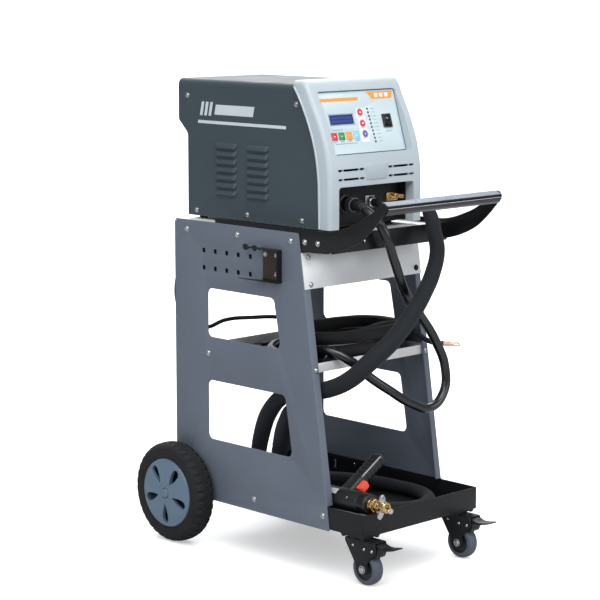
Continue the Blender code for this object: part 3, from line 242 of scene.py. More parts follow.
M["black_plastic"] = surf("black_plastic", "#151617", 0.42, vary=0.12, grain=0.35, grain_scale=1300.0, edge=0.0006)
# near-black matt: the connector plate's finish, and the painted shade of the louvre sheets, the deck's lower side
# sheets and the panel gap strips
M["dark_inside"] = surf("dark_inside", "#0d0e0f", 0.70, vary=0.2, grain=0.2, edge=0.0)
M["red"] = surf("key_red", "#d8303a", 0.38, vary=0.08, grain=0.15)
M["green"] = surf("key_green", "#1f9153", 0.38, vary=0.08, grain=0.15)
M["orange"] = surf("key_orange", "#ef9a3c", 0.38, vary=0.08, grain=0.15)
M["blue"] = surf("key_blue", "#8fc6ec", 0.38, vary=0.08, grain=0.15)
M["purple"] = surf("key_purple", "#6a5fa8", 0.38, vary=0.08, grain=0.15)
M["steel"] = surf("bright_steel", "#c6c8ca", 0.22, metal=1.0, vary=0.08, vary_scale=60.0, grain=0.12, grain_scale=500.0,
                  rough_vary=0.10)
M["zinc"] = surf("zinc_steel", "#b4b6b5", 0.34, metal=1.0, vary=0.14, vary_scale=45.0, grain=0.20, grain_scale=420.0,
                 rough_vary=0.10)
M["brass"] = surf("machined_brass", "#cbab74", 0.20, metal=1.0, vary=0.10, vary_scale=70.0, grain=0.20,
                  stretch=(120.0, 2500.0, 2500.0), rough_vary=0.08, wear="#f0dca8", wear_amount=0.6)
M["lug"] = surf("tinned_lug", "#e8bfa8", 0.30, metal=0.7, vary=0.12, vary_scale=120.0, grain=0.2, grain_scale=600.0)
M["copper"] = surf("copper", "#c07550", 0.30, metal=1.0, vary=0.12, vary_scale=60.0, grain=0.25, grain_scale=600.0)
M["tyre"] = surf("tyre_rubber", "#17181a", 0.74, vary=0.16, vary_scale=30.0, grain=0.55, grain_scale=900.0,
                 grain_dist=0.0004, dust=0.05, wear="#35383b", wear_amount=0.55, edge=0.0010, spec=0.35)
M["rim"] = surf("rim_moulding", "#5f7488", 0.42, vary=0.05, grain=0.25, grain_scale=1300.0, edge=0.0010,
                wear="#8b9aa9", wear_amount=0.4)
M["tread"] = surf("caster_tread", "#4f5663", 0.46, vary=0.08, vary_scale=40.0, grain=0.25, grain_scale=800.0)
M["core"] = surf("caster_core", "#1b1c20", 0.45, vary=0.10, grain=0.25)
M["cable"] = surf("cable_jacket", "#0b0e13", 0.26, vary=0.20, vary_scale=30.0, grain=0.20, grain_scale=350.0,
                  grain_dist=0.0003, edge=0.0, coat=0.35, rough_vary=0.08)
M["cable_matt"] = surf("cable_matt", "#0e1012", 0.50, vary=0.20, vary_scale=30.0, grain=0.30, grain_scale=500.0,
                       edge=0.0)
M["rubber"] = surf("foot_rubber", "#161617", 0.80, vary=0.1, grain=0.35, edge=0.0)
# light bluish grey on the black grips: painted reflection of the bright studio on the handle grip's top strip and on
# the gun grip's edge
M["grip_light"] = surf("grip_strip", "#8f99a6", 0.30, metal=0.35, vary=0.05, vary_scale=20.0, grain=0.10, edge=0.0004,
                       stretch=(20.0, 900.0, 900.0), coat=0.1)
M["grip_brown"] = surf("grip_face", "#151211", 0.30, vary=0.12, grain=0.12, edge=0.0005, coat=0.3)
M["bracket"] = surf("bracket_web", "#3b3229", 0.28, metal=0.55, vary=0.16, vary_scale=20.0, grain=0.15,
                    stretch=(900.0, 30.0, 900.0))
M["trigger"] = surf("trigger_red", "#ef5438", 0.36, vary=0.07, grain=0.15)
# pale grey: the grip's small lip, and the painted highlight band along the top of the gun barrel
M["label"] = surf("label_pale", "#b9bfc4", 0.45, vary=0.05, grain=0.08, edge=0.0)
M["laminations"] = surf("laminations", "#55575a", 0.45, metal=0.7, vary=0.1, grain=0.5, stretch=(2600.0, 60.0, 60.0))
M["winding"] = surf("winding", "#a4592f", 0.35, metal=0.6, vary=0.10, grain=0.7, stretch=(40.0, 40.0, 1400.0),
                    grain_dist=0.0006)
M["board"] = surf("board_green", "#146335", 0.45, vary=0.10, grain=0.15)
M["sleeve"] = braid("hose_braid", "#0a0e13", "#171f29", 16, 0.0085)
M["sleeve_dark"] = braid("coil_braid", "#07080a", "#101215", 16, 0.0080)
M["plug_ring"] = surf("plug_ring", "#6f8499", 0.22, metal=0.3, vary=0.06, grain=0.10, coat=0.5)
M["dark_screw"] = surf("dark_screw", "#26282b", 0.35, metal=0.6, vary=0.1, grain=0.15)
M["graphic"] = surf("side_graphic", "#c9d2d6", 0.45, vary=0.05, grain=0.10, edge=0.0)


# ==================================================================== helpers
def new_bm():
    return bmesh.new()


def merge(*bms):
    out = bms[0]
    for b in bms[1:]:
        me = bpy.data.meshes.new("t")
        b.to_mesh(me)
        out.from_mesh(me)
        bpy.data.meshes.remove(me)
        b.free()
    return out


def obj(name, bm, mat, body="root", rep=(), smooth=35, recalc=True, mods=()):
    """Puts a bmesh into the scene as a shown piece that rides on a body."""
    if recalc:
        bmesh.ops.recalc_face_normals(bm, faces=bm.faces[:])
    me = bpy.data.meshes.new(name)
    bm.to_mesh(me)
    bm.free()
    ob = bpy.data.objects.new(name, me)
    scene.collection.objects.link(ob)
    me.materials.append(mat)
    if smooth is not None:
        me.shade_smooth()
        me.set_sharp_from_angle(angle=math.radians(smooth))
    for kind, kw in mods:
        md = ob.modifiers.new(kind.lower(), kind)
        for k, v in kw.items():
            setattr(md, k, v)
    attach(ob, body)
    if rep:
        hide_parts(*rep)
    return ob


def at(axis, a, b, c):
    if axis == 'x':
        return V((c, a, b))
    if axis == 'y':
        return V((a, c, b))
    return V((a, b, c))


def rect(a0, a1, b0, b1):
    return [(a0, b0), (a1, b0), (a1, b1), (a0, b1)]


def circle(ca, cb, r, n, start=0.0):
    return [(ca + r * math.cos(start + 2 * math.pi * i / n), cb + r * math.sin(start + 2 * math.pi * i / n))
            for i in range(n)]


def rounded(pts, r, n=6):
    out = []
    m = len(pts)
    for i in range(m):
        p0, p, p1 = V(pts[i - 1]), V(pts[i]), V(pts[(i + 1) % m])
        u, v = (p0 - p).normalized(), (p1 - p).normalized()
        ang = math.acos(max(-1, min(1, u.dot(v))))
        if ang > math.radians(172):
            out.append(tuple(p))
            continue
        rr = r[i] if isinstance(r, (list, tuple)) else r
        if rr <= 0:
            out.append(tuple(p))
            continue
        d = rr / math.tan(ang / 2)
        c = p + (u + v).normalized() * (rr / math.sin(ang / 2))
        a, b = p + u * d - c, p + v * d - c
        sweep = math.atan2(a.x * b.y - a.y * b.x, a.dot(b))
        for k in range(n + 1):
            t = sweep * k / n
            out.append((c.x + a.x * math.cos(t) - a.y * math.sin(t), c.y + a.x * math.sin(t) + a.y * math.cos(t)))
    return out


def catmull(pts, n=5, closed=False):
    """Smooth curve through points of any dimension."""
    P = [V(p) for p in pts]
    m = len(P)
    out = []
    for i in range(m if closed else m - 1):
        p0 = P[(i - 1) % m] if closed or i > 0 else P[0] * 2 - P[1]
        p1, p2 = P[i], P[(i + 1) % m]
        p3 = P[(i + 2) % m] if closed or i < m - 2 else P[-1] * 2 - P[-2]
        for k in range(n):
            t = k / n
            out.append(0.5 * ((2 * p1) + (p2 - p0) * t + (2 * p0 - 5 * p1 + 4 * p2 - p3) * t * t
                              + (3 * p1 - p0 - 3 * p2 + p3) * t ** 3))
    if not closed:
        out.append(P[-1])
    return out


def plate(loops, axis, lo, hi, bevel=0.0004, res=2):
    """Flat piece with holes and rounded edges between two depths."""
    bevel = min(bevel, abs(hi - lo) / 2 * 0.98)
    cu = bpy.data.curves.new("plate", 'CURVE')
    cu.dimensions = '2D'
    cu.fill_mode = 'BOTH'
    cu.extrude = max(0.0, abs(hi - lo) / 2 - bevel)
    cu.bevel_depth = bevel
    cu.bevel_resolution = res
    cu.offset = -bevel
    for loop in loops:
        sp = cu.splines.new('POLY')
        sp.points.add(len(loop) - 1)
        for q, p in zip(sp.points, loop):
            q.co = (p[0], p[1], 0, 1)
        sp.use_cyclic_u = True
    ob = bpy.data.objects.new("plate", cu)
    scene.collection.objects.link(ob)
    dg = bpy.context.evaluated_depsgraph_get()
    me = bpy.data.meshes.new_from_object(ob.evaluated_get(dg))
    bpy.data.objects.remove(ob)
    bpy.data.curves.remove(cu)
    bm = new_bm()
    bm.from_mesh(me)
    bpy.data.meshes.remove(me)
    mid = (lo + hi) / 2
    for v in bm.verts:
        v.co = at(axis, v.co.x, v.co.y, mid + v.co.z)
    bmesh.ops.remove_doubles(bm, verts=bm.verts[:], dist=2e-6)
    bmesh.ops.recalc_face_normals(bm, faces=bm.faces[:])
    return bm


def lathe(profile, axis, centre, steps, closed=False):
    """Turned solid. profile: (radius, position along the axis); ends on the axis close to a point."""
    bm = new_bm()
    rad = {'x': (V((0, 1, 0)), V((0, 0, 1))), 'y': (V((1, 0, 0)), V((0, 0, 1))), 'z': (V((1, 0, 0)), V((0, 1, 0)))}[axis]
    ax = {'x': V((1, 0, 0)), 'y': V((0, 1, 0)), 'z': V((0, 0, 1))}[axis]
    rings = []
    c = V(centre)
    for r, a in profile:
        if r < 1e-7:
            rings.append([bm.verts.new(c + ax * a)])
        else:
            rings.append([bm.verts.new(c + ax * a + rad[0] * (r * math.cos(2 * math.pi * k / steps))
                                       + rad[1] * (r * math.sin(2 * math.pi * k / steps))) for k in range(steps)])
    pairs = list(zip(rings, rings[1:])) + ([(rings[-1], rings[0])] if closed else [])
    for p, q in pairs:
        for k in range(steps):
            k2 = (k + 1) % steps
            if len(p) == 1 and len(q) == 1:
                continue
            if len(p) == 1:
                bm.faces.new((p[0], q[k], q[k2]))
            elif len(q) == 1:
                bm.faces.new((p[k], q[0], p[k2]))
            else:
                bm.faces.new((p[k], q[k], q[k2], p[k2]))
    bmesh.ops.recalc_face_normals(bm, faces=bm.faces[:])
    return bm


def loft(sections, cap=True):
    """Skin through closed outlines with the same number of points."""
    bm = new_bm()
    rings = [[bm.verts.new(p) for p in s] for s in sections]
    n = len(rings[0])
    for p, q in zip(rings, rings[1:]):
        for k in range(n):
            bm.faces.new((p[k], p[(k + 1) % n], q[(k + 1) % n], q[k]))
    if cap:
        bm.faces.new(rings[0])
        bm.faces.new(rings[-1])
    bmesh.ops.recalc_face_normals(bm, faces=bm.faces[:])
    return bm


def prism(pts, axis, lo, hi):
    return loft([[at(axis, p[0], p[1], lo) for p in pts], [at(axis, p[0], p[1], hi) for p in pts]])


def block(lo, hi, bevel=0.0005, seg=2):
    bm = prism(rect(lo[0], hi[0], lo[1], hi[1]), 'z', lo[2], hi[2])
    if bevel:
        bmesh.ops.bevel(bm, geom=bm.edges[:], offset=bevel, segments=seg, profile=0.5, affect='EDGES',
                        clamp_overlap=True)
    return bm


def bevelled(bm, width, seg=3, angle=30):
    es = [e for e in bm.edges if len(e.link_faces) == 2 and e.calc_face_angle(0) > math.radians(angle)]
    bmesh.ops.bevel(bm, geom=es, offset=width, segments=seg, profile=0.5, affect='EDGES', clamp_overlap=True)
    return bm


def moved(bm, m):
    bmesh.ops.transform(bm, matrix=m, verts=bm.verts[:])
    return bm


def copy_bm(bm):
    return bm.copy()


def cut(bm, op, *cutters):
    """Boolean with exact solver; returns a new bmesh."""
    def tmp(b):
        bmesh.ops.recalc_face_normals(b, faces=b.faces[:])
        me = bpy.data.meshes.new("c")
        b.to_mesh(me)
        b.free()
        o = bpy.data.objects.new("c", me)
        scene.collection.objects.link(o)
        return o
    base = tmp(bm)
    helpers = []
    for c in cutters:
        h = tmp(c)
        helpers.append(h)
        md = base.modifiers.new("b", 'BOOLEAN')
        md.operation = op
        md.solver = 'EXACT'
        md.object = h
    dg = bpy.context.evaluated_depsgraph_get()
    me = bpy.data.meshes.new_from_object(base.evaluated_get(dg))
    out = new_bm()
    out.from_mesh(me)
    for o in [base] + helpers:
        bpy.data.objects.remove(o)
    bpy.data.meshes.remove(me)
    return out


def sweep(points, radius, n=20, step=0.004, caps=True, oval=None, taper=None):
    """Round cable along a smooth path, with UVs: u round the cable, v along it in metres."""
    path = bezier_auto(points)
    # even spacing
    pts = [path[0]]
    acc = 0.0
    for p in path[1:]:
        if (p - pts[-1]).length >= step:
            pts.append(p)
    if (pts[-1] - path[-1]).length > 1e-5:
        pts.append(path[-1])
    bm = new_bm()
    uvl = bm.loops.layers.uv.new("UVMap")
    rings, dist = [], [0.0]
    t0 = (pts[1] - pts[0]).normalized()
    ref = V((0, 0, 1)) if abs(t0.z) < 0.9 else V((1, 0, 0))
    nrm = t0.cross(ref).normalized()
    prev = t0
    for i, p in enumerate(pts):
        if i == 0:
            t = t0
        elif i == len(pts) - 1:
            t = (pts[i] - pts[i - 1]).normalized()
        else:
            t = (pts[i + 1] - pts[i - 1]).normalized()
        axis = prev.cross(t)
        if axis.length > 1e-8:
            nrm = Matrix.Rotation(prev.angle(t), 3, axis.normalized()) @ nrm
        nrm = (nrm - t * nrm.dot(t)).normalized()
        prev = t
        bn = t.cross(nrm)
        if i:
            dist.append(dist[-1] + (p - pts[i - 1]).length)
        r = radius(dist[-1]) if callable(radius) else radius
        ring = []
        for k in range(n):
            a = 2 * math.pi * k / n
            rr = r if oval is None else r * oval(dist[-1], a)
            ring.append(bm.verts.new(p + nrm * (rr * math.cos(a)) + bn * (rr * math.sin(a))))
        rings.append(ring)
    for i in range(len(rings) - 1):
        for k in range(n):
            f = bm.faces.new((rings[i][k], rings[i][(k + 1) % n], rings[i + 1][(k + 1) % n], rings[i + 1][k]))
            us = (k / n, (k + 1) / n, (k + 1) / n, k / n)
            vs = (dist[i], dist[i], dist[i + 1], dist[i + 1])
            for lp, u, v in zip(f.loops, us, vs):
                lp[uvl].uv = (u, v)
    if caps:
        bm.faces.new(rings[0])
        bm.faces.new(rings[-1])
    bmesh.ops.recalc_face_normals(bm, faces=bm.faces[:])
    return bm


def bezier_auto(points, res=14):
    """The path Blender draws through points with automatic handles."""
    cu = bpy.data.curves.new("p", 'CURVE')
    cu.dimensions = '3D'
    cu.resolution_u = res
    sp = cu.splines.new('BEZIER')
    sp.bezier_points.add(len(points) - 1)
    for bp, p in zip(sp.bezier_points, points):
        bp.co = p
        bp.handle_left_type = bp.handle_right_type = 'AUTO'
    ob = bpy.data.objects.new("p", cu)
    scene.collection.objects.link(ob)
    dg = bpy.context.evaluated_depsgraph_get()
    me = bpy.data.meshes.new_from_object(ob.evaluated_get(dg))
    pts = [v.co.copy() for v in me.vertices]
    bpy.data.objects.remove(ob)
    bpy.data.curves.remove(cu)
    bpy.data.meshes.remove(me)
    return pts


def facing(bm, pos, normal, spin=0.0):
    """Turns a piece built along +Z to stand on a surface."""
    q = V(normal).normalized().to_track_quat('Z', 'Y').to_matrix().to_4x4()
    return moved(bm, Matrix.Translation(V(pos)) @ q @ Matrix.Rotation(spin, 4, 'Z'))


def screw(pos, normal, r=0.0050, h=0.0028, washer=True, spin=0.3):
    """Pan-head screw with a hexagon recess, on a washer."""
    parts = []
    z = 0.0
    if washer:
        parts.append(lathe([(0, 0), (r * 1.28, 0), (r * 1.30, 0.0003), (r * 1.28, 0.0008), (0, 0.0008)], 'z', (0, 0, 0), 24))
        z = 0.0008
    head = lathe([(0, z), (r * 0.96, z), (r, z + 0.0003), (r, z + h * 0.35), (r * 0.92, z + h * 0.66), (r * 0.74, z + h * 0.88),
                  (r * 0.52, z + h), (r * 0.44, z + h), (r * 0.40, z + h * 0.45), (0, z + h * 0.40)], 'z', (0, 0, 0), 24)
    # pull the recess into a hexagon
    for v in head.verts:
        rr = math.hypot(v.co.x, v.co.y)
        if r * 0.30 < rr < r * 0.47:
            a = math.atan2(v.co.y, v.co.x)
            k = (a % (math.pi / 3)) - math.pi / 6
            f = math.cos(math.pi / 6) / math.cos(k)
            v.co.x *= f
            v.co.y *= f
    parts.append(head)
    return facing(merge(*parts), pos, normal, spin)


def screws(name, spots, mat=None, body="root", **kw):
    bms = [screw(p, n, spin=0.3 + 1.1 * i, **kw) for i, (p, n) in enumerate(spots)]
    return obj(name, merge(*bms), mat or M["steel"], body, smooth=40)


# constants shared with the CAD
PANEL_X, PANEL_Z0, PANEL_Z1, PANEL_REAR = 0.160, 0.092, 0.6455, 0.256
ARM_X, ARM_T = 0.1577, 0.003
WHEEL_X, WHEEL_Y, WHEEL_R = 0.187, 0.230, 0.100
CASTER_X, CASTER_SY, CASTER_WY, CASTER_R = 0.132, -0.238, -0.254, 0.0315


def panel_front(z):
    k = 0.083 / (PANEL_Z1 - PANEL_Z0)
    return -0.097 - k * (PANEL_Z1 - z)


# ================================================================ side panels
WIN_HIGH = rounded([(0.157, 0.516), (0.157, 0.420), (-0.049, 0.420), (-0.030, 0.516)], 0.012, 8)
WIN_LOW = rounded([(0.157, 0.334), (0.157, 0.216), (-0.081, 0.216), (-0.061, 0.334)], 0.012, 8)
PEGS = [rounded(rect(y - 0.0043, y + 0.0043, z - 0.0045, z + 0.0045), 0.0012, 3)
        for y in (0.168, 0.135, 0.102, 0.069, 0.035) for z in (0.589, 0.555)]


BOW = [(0.1150, 0.1265), (0.1230, 0.1265), (0.1203, 0.1177), (0.1230, 0.1090), (0.1150, 0.1090), (0.1177, 0.1177)]
SLIT = rect(0.0625, 0.0675, 0.1262, 0.1280)


def bend(s, y_edge, toward, xi, z):
    """Folded edge seen from above: a leg on the panel, a rounded bend, and the flange."""
    R, T, d = 0.0035, 0.002, 0.0060
    X = PANEL_X
    pts = [(X, d)]
    for k in range(7):
        a = math.pi / 2 * k / 6
        pts.append((X - R + R * math.cos(a), R - R * math.sin(a)))
    pts += [(xi, 0.0), (xi, T)]
    for k in range(5):
        a = math.pi / 2 * (1 - k / 4)
        pts.append((X - R + (R - T) * math.cos(a), R - (R - T) * math.sin(a)))
    pts.append((X - T, d))
    return [V((s * x, y_edge - toward * y, z)) for x, y in pts]


def side_panel(side, s):
    zf0, zf1, d = 0.1385, 0.609, 0.0060
    yf = panel_front
    outline = [(0.250, 0.079), (0.250, 0.6455), (-0.094, 0.6455), (-0.0972, 0.6430), (yf(0.6092), 0.6092),
               (yf(zf1) + d, zf1), (yf(zf0) + d, zf0), (yf(0.1383), 0.1383), (-0.180, PANEL_Z0), (0.190, PANEL_Z0),
               (0.203, 0.079)]
    outline = rounded(outline, [0, 0.0, 0.002, 0.002, 0, 0, 0, 0, 0.002, 0.008, 0.004], 4)
    main = plate([outline, WIN_HIGH, WIN_LOW, circle(WHEEL_Y, WHEEL_R, 0.0063, 32)] + PEGS + ([BOW, SLIT] if s > 0 else []),
                 'x', s * 0.158, s * 0.160, 0.0003, 1)
    front = loft([bend(s, yf(z), -1, 0.1440, z) for z in (zf0, zf1)])
    rear = loft([bend(s, PANEL_REAR, 1, 0.1460, z) for z in (0.079, 0.6405)])
    obj("side_panel_%s_sheet" % side, merge(main, front, rear), M["panel"], rep=("side_panel_" + side,),
        smooth=35)


side_panel("left", -1)
side_panel("right", 1)

# ============================================================ tray, shelf, deck


def pan(name, x, y0, y1, z0, z1, mat, rep, right_holes=()):
    t = 0.0015
    parts = [plate([rounded(rect(-x, x, y0, y1), 0.001, 3)], 'z', z0, z0 + t, 0.0005),
             plate([rect(-x, x, z0 + 0.0004, z1)], 'y', y0, y0 + t, 0.0005),
             plate([rect(-x, x, z0 + 0.0004, z1)], 'y', y1 - t, y1, 0.0005),
             plate([rect(y0 + 0.0017, y1 - 0.0017, z0 + 0.0004, z1)], 'x', -x, -x + t, 0.0005),
             plate([rect(y0 + 0.0017, y1 - 0.0017, z0 + 0.0004, z1)] + list(right_holes), 'x', x - t, x, 0.0005)]
    return obj(name, merge(*parts), mat, rep=(rep,), smooth=35)


pan("bottom_tray_sheet", 0.1577, -0.266, 0.212, 0.095, 0.1375, M["black_coat"], "bottom_tray", (BOW, SLIT))
pan("middle_shelf_sheet", 0.1577, -0.130, 0.178, 0.384, 0.402, M["shelf"], "middle_shelf")
dx = ARM_X - ARM_T - 0.0003
obj("top_deck_sheet", merge(
    plate([rounded(rect(-dx, dx, -0.1792, 0.2535), 0.001, 3)], 'z', 0.6415, 0.643, 0.0005),
    plate([rect(-0.1792, 0.2520, 0.615, 0.6425)], 'x', -dx, -dx + 0.0015, 0.0005),
    plate([rect(-0.1792, 0.2520, 0.615, 0.6425)], 'x', dx - 0.0015, dx, 0.0005),
    plate([rect(-dx, dx, 0.540, 0.6425)], 'y', 0.2520, 0.2535, 0.0005)), M["silver"], rep=("top_deck",))
# dark sheets just inside the side panels below the deck: painted shade of the machine's inside behind the peg holes
obj("deck_painted_shade_sheets", merge(*[plate([rect(-0.0850, 0.2518, 0.5400, 0.6160)], 'x', min(s * dx, s * (dx - 0.0013)), max(s * dx, s * (dx - 0.0013)), 0.0003)
                               for s in (-1, 1)]), M["dark_inside"])


def leaning_plate(x0, x1, z0, z1, off, t, bevel=0.0005):
    f = lambda z: panel_front(z) - 0.0003 - off
    return bevelled(prism([(f(z0), z0), (f(z1), z1), (f(z1) - t, z1), (f(z0) - t, z0)], 'x', x0, x1), bevel, 2)


obj("front_fascia_sheet", leaning_plate(-0.1595, 0.1595, 0.541, 0.6085, 0.0, 0.0015), M["silver"],
    rep=("front_fascia",))

# ================================================================ push handle
ARM_TOP = [(0.1375, 0.6544), (-0.150, 0.6535), (-0.178, 0.6553), (-0.2024, 0.6605), (-0.2248, 0.6683),
           (-0.2506, 0.6790), (-0.2834, 0.6980), (-0.3000, 0.7110), (-0.3070, 0.7185)]
ARM_NOSE = [(-0.3140, 0.7175), (-0.3195, 0.7110), (-0.3190, 0.7040)]
ARM_BOT = [(-0.3131, 0.6975), (-0.2911, 0.6740), (-0.2667, 0.6520), (-0.2461, 0.6390), (-0.2148, 0.6255),
           (-0.1800, 0.6160), (-0.1650, 0.6125), (-0.100, 0.6105), (0.1375, 0.6105)]
arm = [(0.1375, 0.6544)] + [tuple(p) for p in catmull(ARM_TOP[1:], 5)] + ARM_NOSE \
    + [tuple(p) for p in catmull(ARM_BOT[:-1], 5)] + [(0.1375, 0.6105)]
bar = block((-(ARM_X - 0.0008), -0.1825, 0.6135), (ARM_X - 0.0008, -0.1795, 0.6485), 0.0008, 3)
obj("handle_frame_sheet", merge(plate([arm], 'x', -ARM_X, -ARM_X + ARM_T, 0.0009, 3),
                                plate([arm], 'x', ARM_X - ARM_T, ARM_X, 0.0009, 3), bar), M["gloss_black"],
    rep=("handle_frame",))

gx = ARM_X - ARM_T - 0.0003
GRIP = [(-0.3040, 0.7168), (-0.3068, 0.7176), (-0.3190, 0.7124), (-0.3196, 0.7112), (-0.3172, 0.7101),
        (-0.3172, 0.7088), (-0.3206, 0.7076), (-0.3206, 0.7055), (-0.3180, 0.6990), (-0.3120, 0.6945),
        (-0.3050, 0.6945), (-0.2990, 0.6990), (-0.2985, 0.7090)]
grip = rounded(GRIP, [0.001, 0.001, 0.0006, 0.0006, 0.0003, 0.0003, 0.0006, 0.0015, 0.003, 0.004, 0.004, 0.003, 0.003], 4)
obj("handle_grip_body", prism(grip, 'x', -gx, gx), M["grip_brown"], rep=("handle_grip",), smooth=30)
# serrated top strip of the grip; its pale bluish grey is painted reflection of the studio on the grip's top face
A, B = V((-0.3064, 0.7185)), V((-0.3190, 0.7131))
strip = []
for k in range(19):
    t = k / 18
    p = A.lerp(B, t)
    strip.append((p.x - 0.0002, p.y + (0.00028 if k % 2 else 0.0)))
strip += [(-0.3195, 0.7124), (-0.3188, 0.7117), (-0.3068, 0.7168), (-0.3058, 0.7178)]
obj("handle_grip_strip", prism(strip, 'x', -gx + 0.0004, gx - 0.0004), M["grip_light"], smooth=20)
obj("handle_grip_lip", prism(rounded([(-0.3205, 0.7075), (-0.3209, 0.7066), (-0.3200, 0.7060), (-0.3196, 0.7073)], 0.0002, 2), 'x',
                             -gx + 0.0004, gx - 0.0004), M["label"], smooth=30)

# =============================================================== tool bracket
bx = -PANEL_X - 0.0003
TAPER = [(bx - 0.014, -0.053), (bx, -0.053), (bx, -0.002), (bx - 0.0065, 0.020), (bx - 0.0115, 0.050), (bx - 0.0125, 0.0535),
         (bx - 0.0138, 0.0535)]
HOOK = [(-0.010, 0.6070), (0.004, 0.6070), (0.0060, 0.6035), (0.0120, 0.6035), (0.0145, 0.6080), (0.0240, 0.6080),
        (0.0290, 0.6035), (0.0360, 0.6030), (0.0405, 0.6070), (0.0410, 0.6120), (0.0370, 0.6155), (0.0300, 0.6150),
        (0.0270, 0.6115), (0.0150, 0.6110), (0.0120, 0.6145), (0.0050, 0.6145), (0.0020, 0.6112), (-0.010, 0.6104)]
obj("tool_bracket_web", plate([rounded(rect(-0.0530, -0.0020, 0.5475, 0.6100), 0.002, 3)], 'x', bx - 0.0015, bx, 0.0003),
    M["bracket"], rep=("tool_bracket",))
obj("tool_bracket_flanges", merge(
    plate([[(bx - 0.014, -0.053), (bx - 0.0005, -0.053), (bx - 0.0005, 0.002), (bx - 0.014, 0.002)]], 'z', 0.6090, 0.6105, 0.0004),
    plate([rounded(TAPER, [0.0005, 0, 0, 0.002, 0.004, 0.0008, 0.0004], 3)], 'z', 0.5470, 0.5485, 0.0004),
    plate([rect(bx - 0.014, bx - 0.0005, 0.5475, 0.6100)], 'y', -0.0530, -0.0515, 0.0004),
    plate([rounded(HOOK, 0.0012, 4)], 'x', bx - 0.0139, bx - 0.0115, 0.0005)), M["black_coat"])

# ================================================================ rear wheels
TYRE = [(0.0697, -0.0205), (0.0730, -0.0222), (0.0760, -0.0230), (0.0775, -0.0236), (0.0790, -0.0230), (0.0830, -0.0232),
        (0.0860, -0.0233), (0.0895, -0.0222), (0.0915, -0.0211), (0.0920, -0.0205), (0.0935, -0.0200), (0.0960, -0.0180),
        (0.0980, -0.0150), (0.0990, -0.0120), (0.0995, -0.0090), (0.0997, -0.0082), (0.0985, -0.0076), (0.0985, -0.0056),
        (0.1000, -0.0050), (0.1000, -0.0010), (0.0990, -0.0006), (0.0990, 0.0)]
TYRE = TYRE + [(r, -a) for r, a in reversed(TYRE[:-1])]
RIM = [(0.0063, -0.0220), (0.0150, -0.0220), (0.0160, 0.0180), (0.0600, 0.0180), (0.0640, -0.0190), (0.0690, -0.0190),
       (0.0690, 0.0200), (0.0686, 0.0217), (0.0676, 0.0230), (0.0660, 0.0238), (0.0640, 0.0240), (0.0628, 0.0236),
       (0.0612, 0.0242), (0.0560, 0.0252), (0.0470, 0.0259), (0.0350, 0.0264), (0.0200, 0.0267), (0.0192, 0.0262), (0.0176, 0.0262),
       (0.0168, 0.0268), (0.0118, 0.0268), (0.0108, 0.0264), (0.0104, 0.0255), (0.0100, 0.0230), (0.0063, 0.0230)]
CAP = [(0, 0.0236), (0.0097, 0.0236), (0.0098, 0.0262), (0.0094, 0.0274), (0.0085, 0.0283), (0.0070, 0.0288), (0.0058, 0.0289),
       (0.0054, 0.0284), (0.0030, 0.0284), (0.0, 0.0285)]


def teardrop(r0, r1, half, angle):
    pts = [(0.0, r0)]
    for k in range(1, 9):
        t = k / 9
        pts.append((half * math.sin(t * math.pi / 2) ** 0.9, r0 + (r1 - half - r0) * t))
    for k in range(0, 17):
        a = math.pi * k / 16
        pts.append((half * math.cos(a), r1 - half + half * math.sin(a)))
    for k in range(8, 0, -1):
        t = k / 9
        pts.append((-half * math.sin(t * math.pi / 2) ** 0.9, r0 + (r1 - half - r0) * t))
    ca, sa = math.cos(angle), math.sin(angle)
    return [(WHEEL_Y + a * ca + b * sa, WHEEL_R - a * sa + b * ca) for a, b in pts]


def rear_wheel(side, s):
    body = "wheel_" + side
    c = V((s * WHEEL_X, WHEEL_Y, WHEEL_R))
    N = 216
    t = lathe([(r, s * a) for r, a in TYRE], 'x', c, N, closed=True)
    for v in t.verts:
        d = v.co - c
        r, ang, a = math.hypot(d.y, d.z), math.atan2(d.z, d.y), abs(d.x)
        k = round(ang / (2 * math.pi) * N) + (3 if d.x > 0 else 0)
        drop = 0.0
        if 0.0925 < r and a > 0.0085 and k % 6 in (0, 1):
            drop = 0.0024                    # cross grooves of the shoulder blocks
        elif 0.0992 < r and a <= 0.0085 and (k + (2 if d.x > 0 else 0)) % 6 == 0:
            drop = 0.0015                    # sipes of the middle ribs
        if drop:
            f = (r - drop) / r
            v.co = c + V((d.x * (1 - 0.02 * (drop > 0.002)), d.y * f, d.z * f))
    obj("tyre_%s_tread" % side, t, M["tyre"], body, ("tyre_" + side,), smooth=28)
    rim = lathe([(r, s * a) for r, a in RIM], 'x', c, 96, closed=True)
    cuts = [prism(teardrop(0.0215, 0.0608, 0.0086, math.radians(36 + 72 * k)), 'x', s * (WHEEL_X + 0.0100),
                  s * (WHEEL_X + 0.0300)) for k in range(5)]
    rim = cut(rim, 'DIFFERENCE', *cuts)
    obj("wheel_rim_%s_moulding" % side, rim, M["rim"], body, ("wheel_rim_" + side,), smooth=32)
    web = [(0.0150, -0.0060), (0.0300, -0.0080), (0.0640, -0.0100), (0.0640, -0.0120), (0.0300, -0.0100), (0.0150, -0.0080)]
    obj("wheel_rim_%s_web" % side, lathe([(r, s * a) for r, a in web], 'x', c, 64, closed=True), M["core"], body,
        smooth=40)
    obj("hub_cap_%s_moulding" % side, lathe([(r, s * a) for r, a in CAP], 'x', c, 48), M["rim"], body,
        ("hub_cap_" + side,), smooth=32)


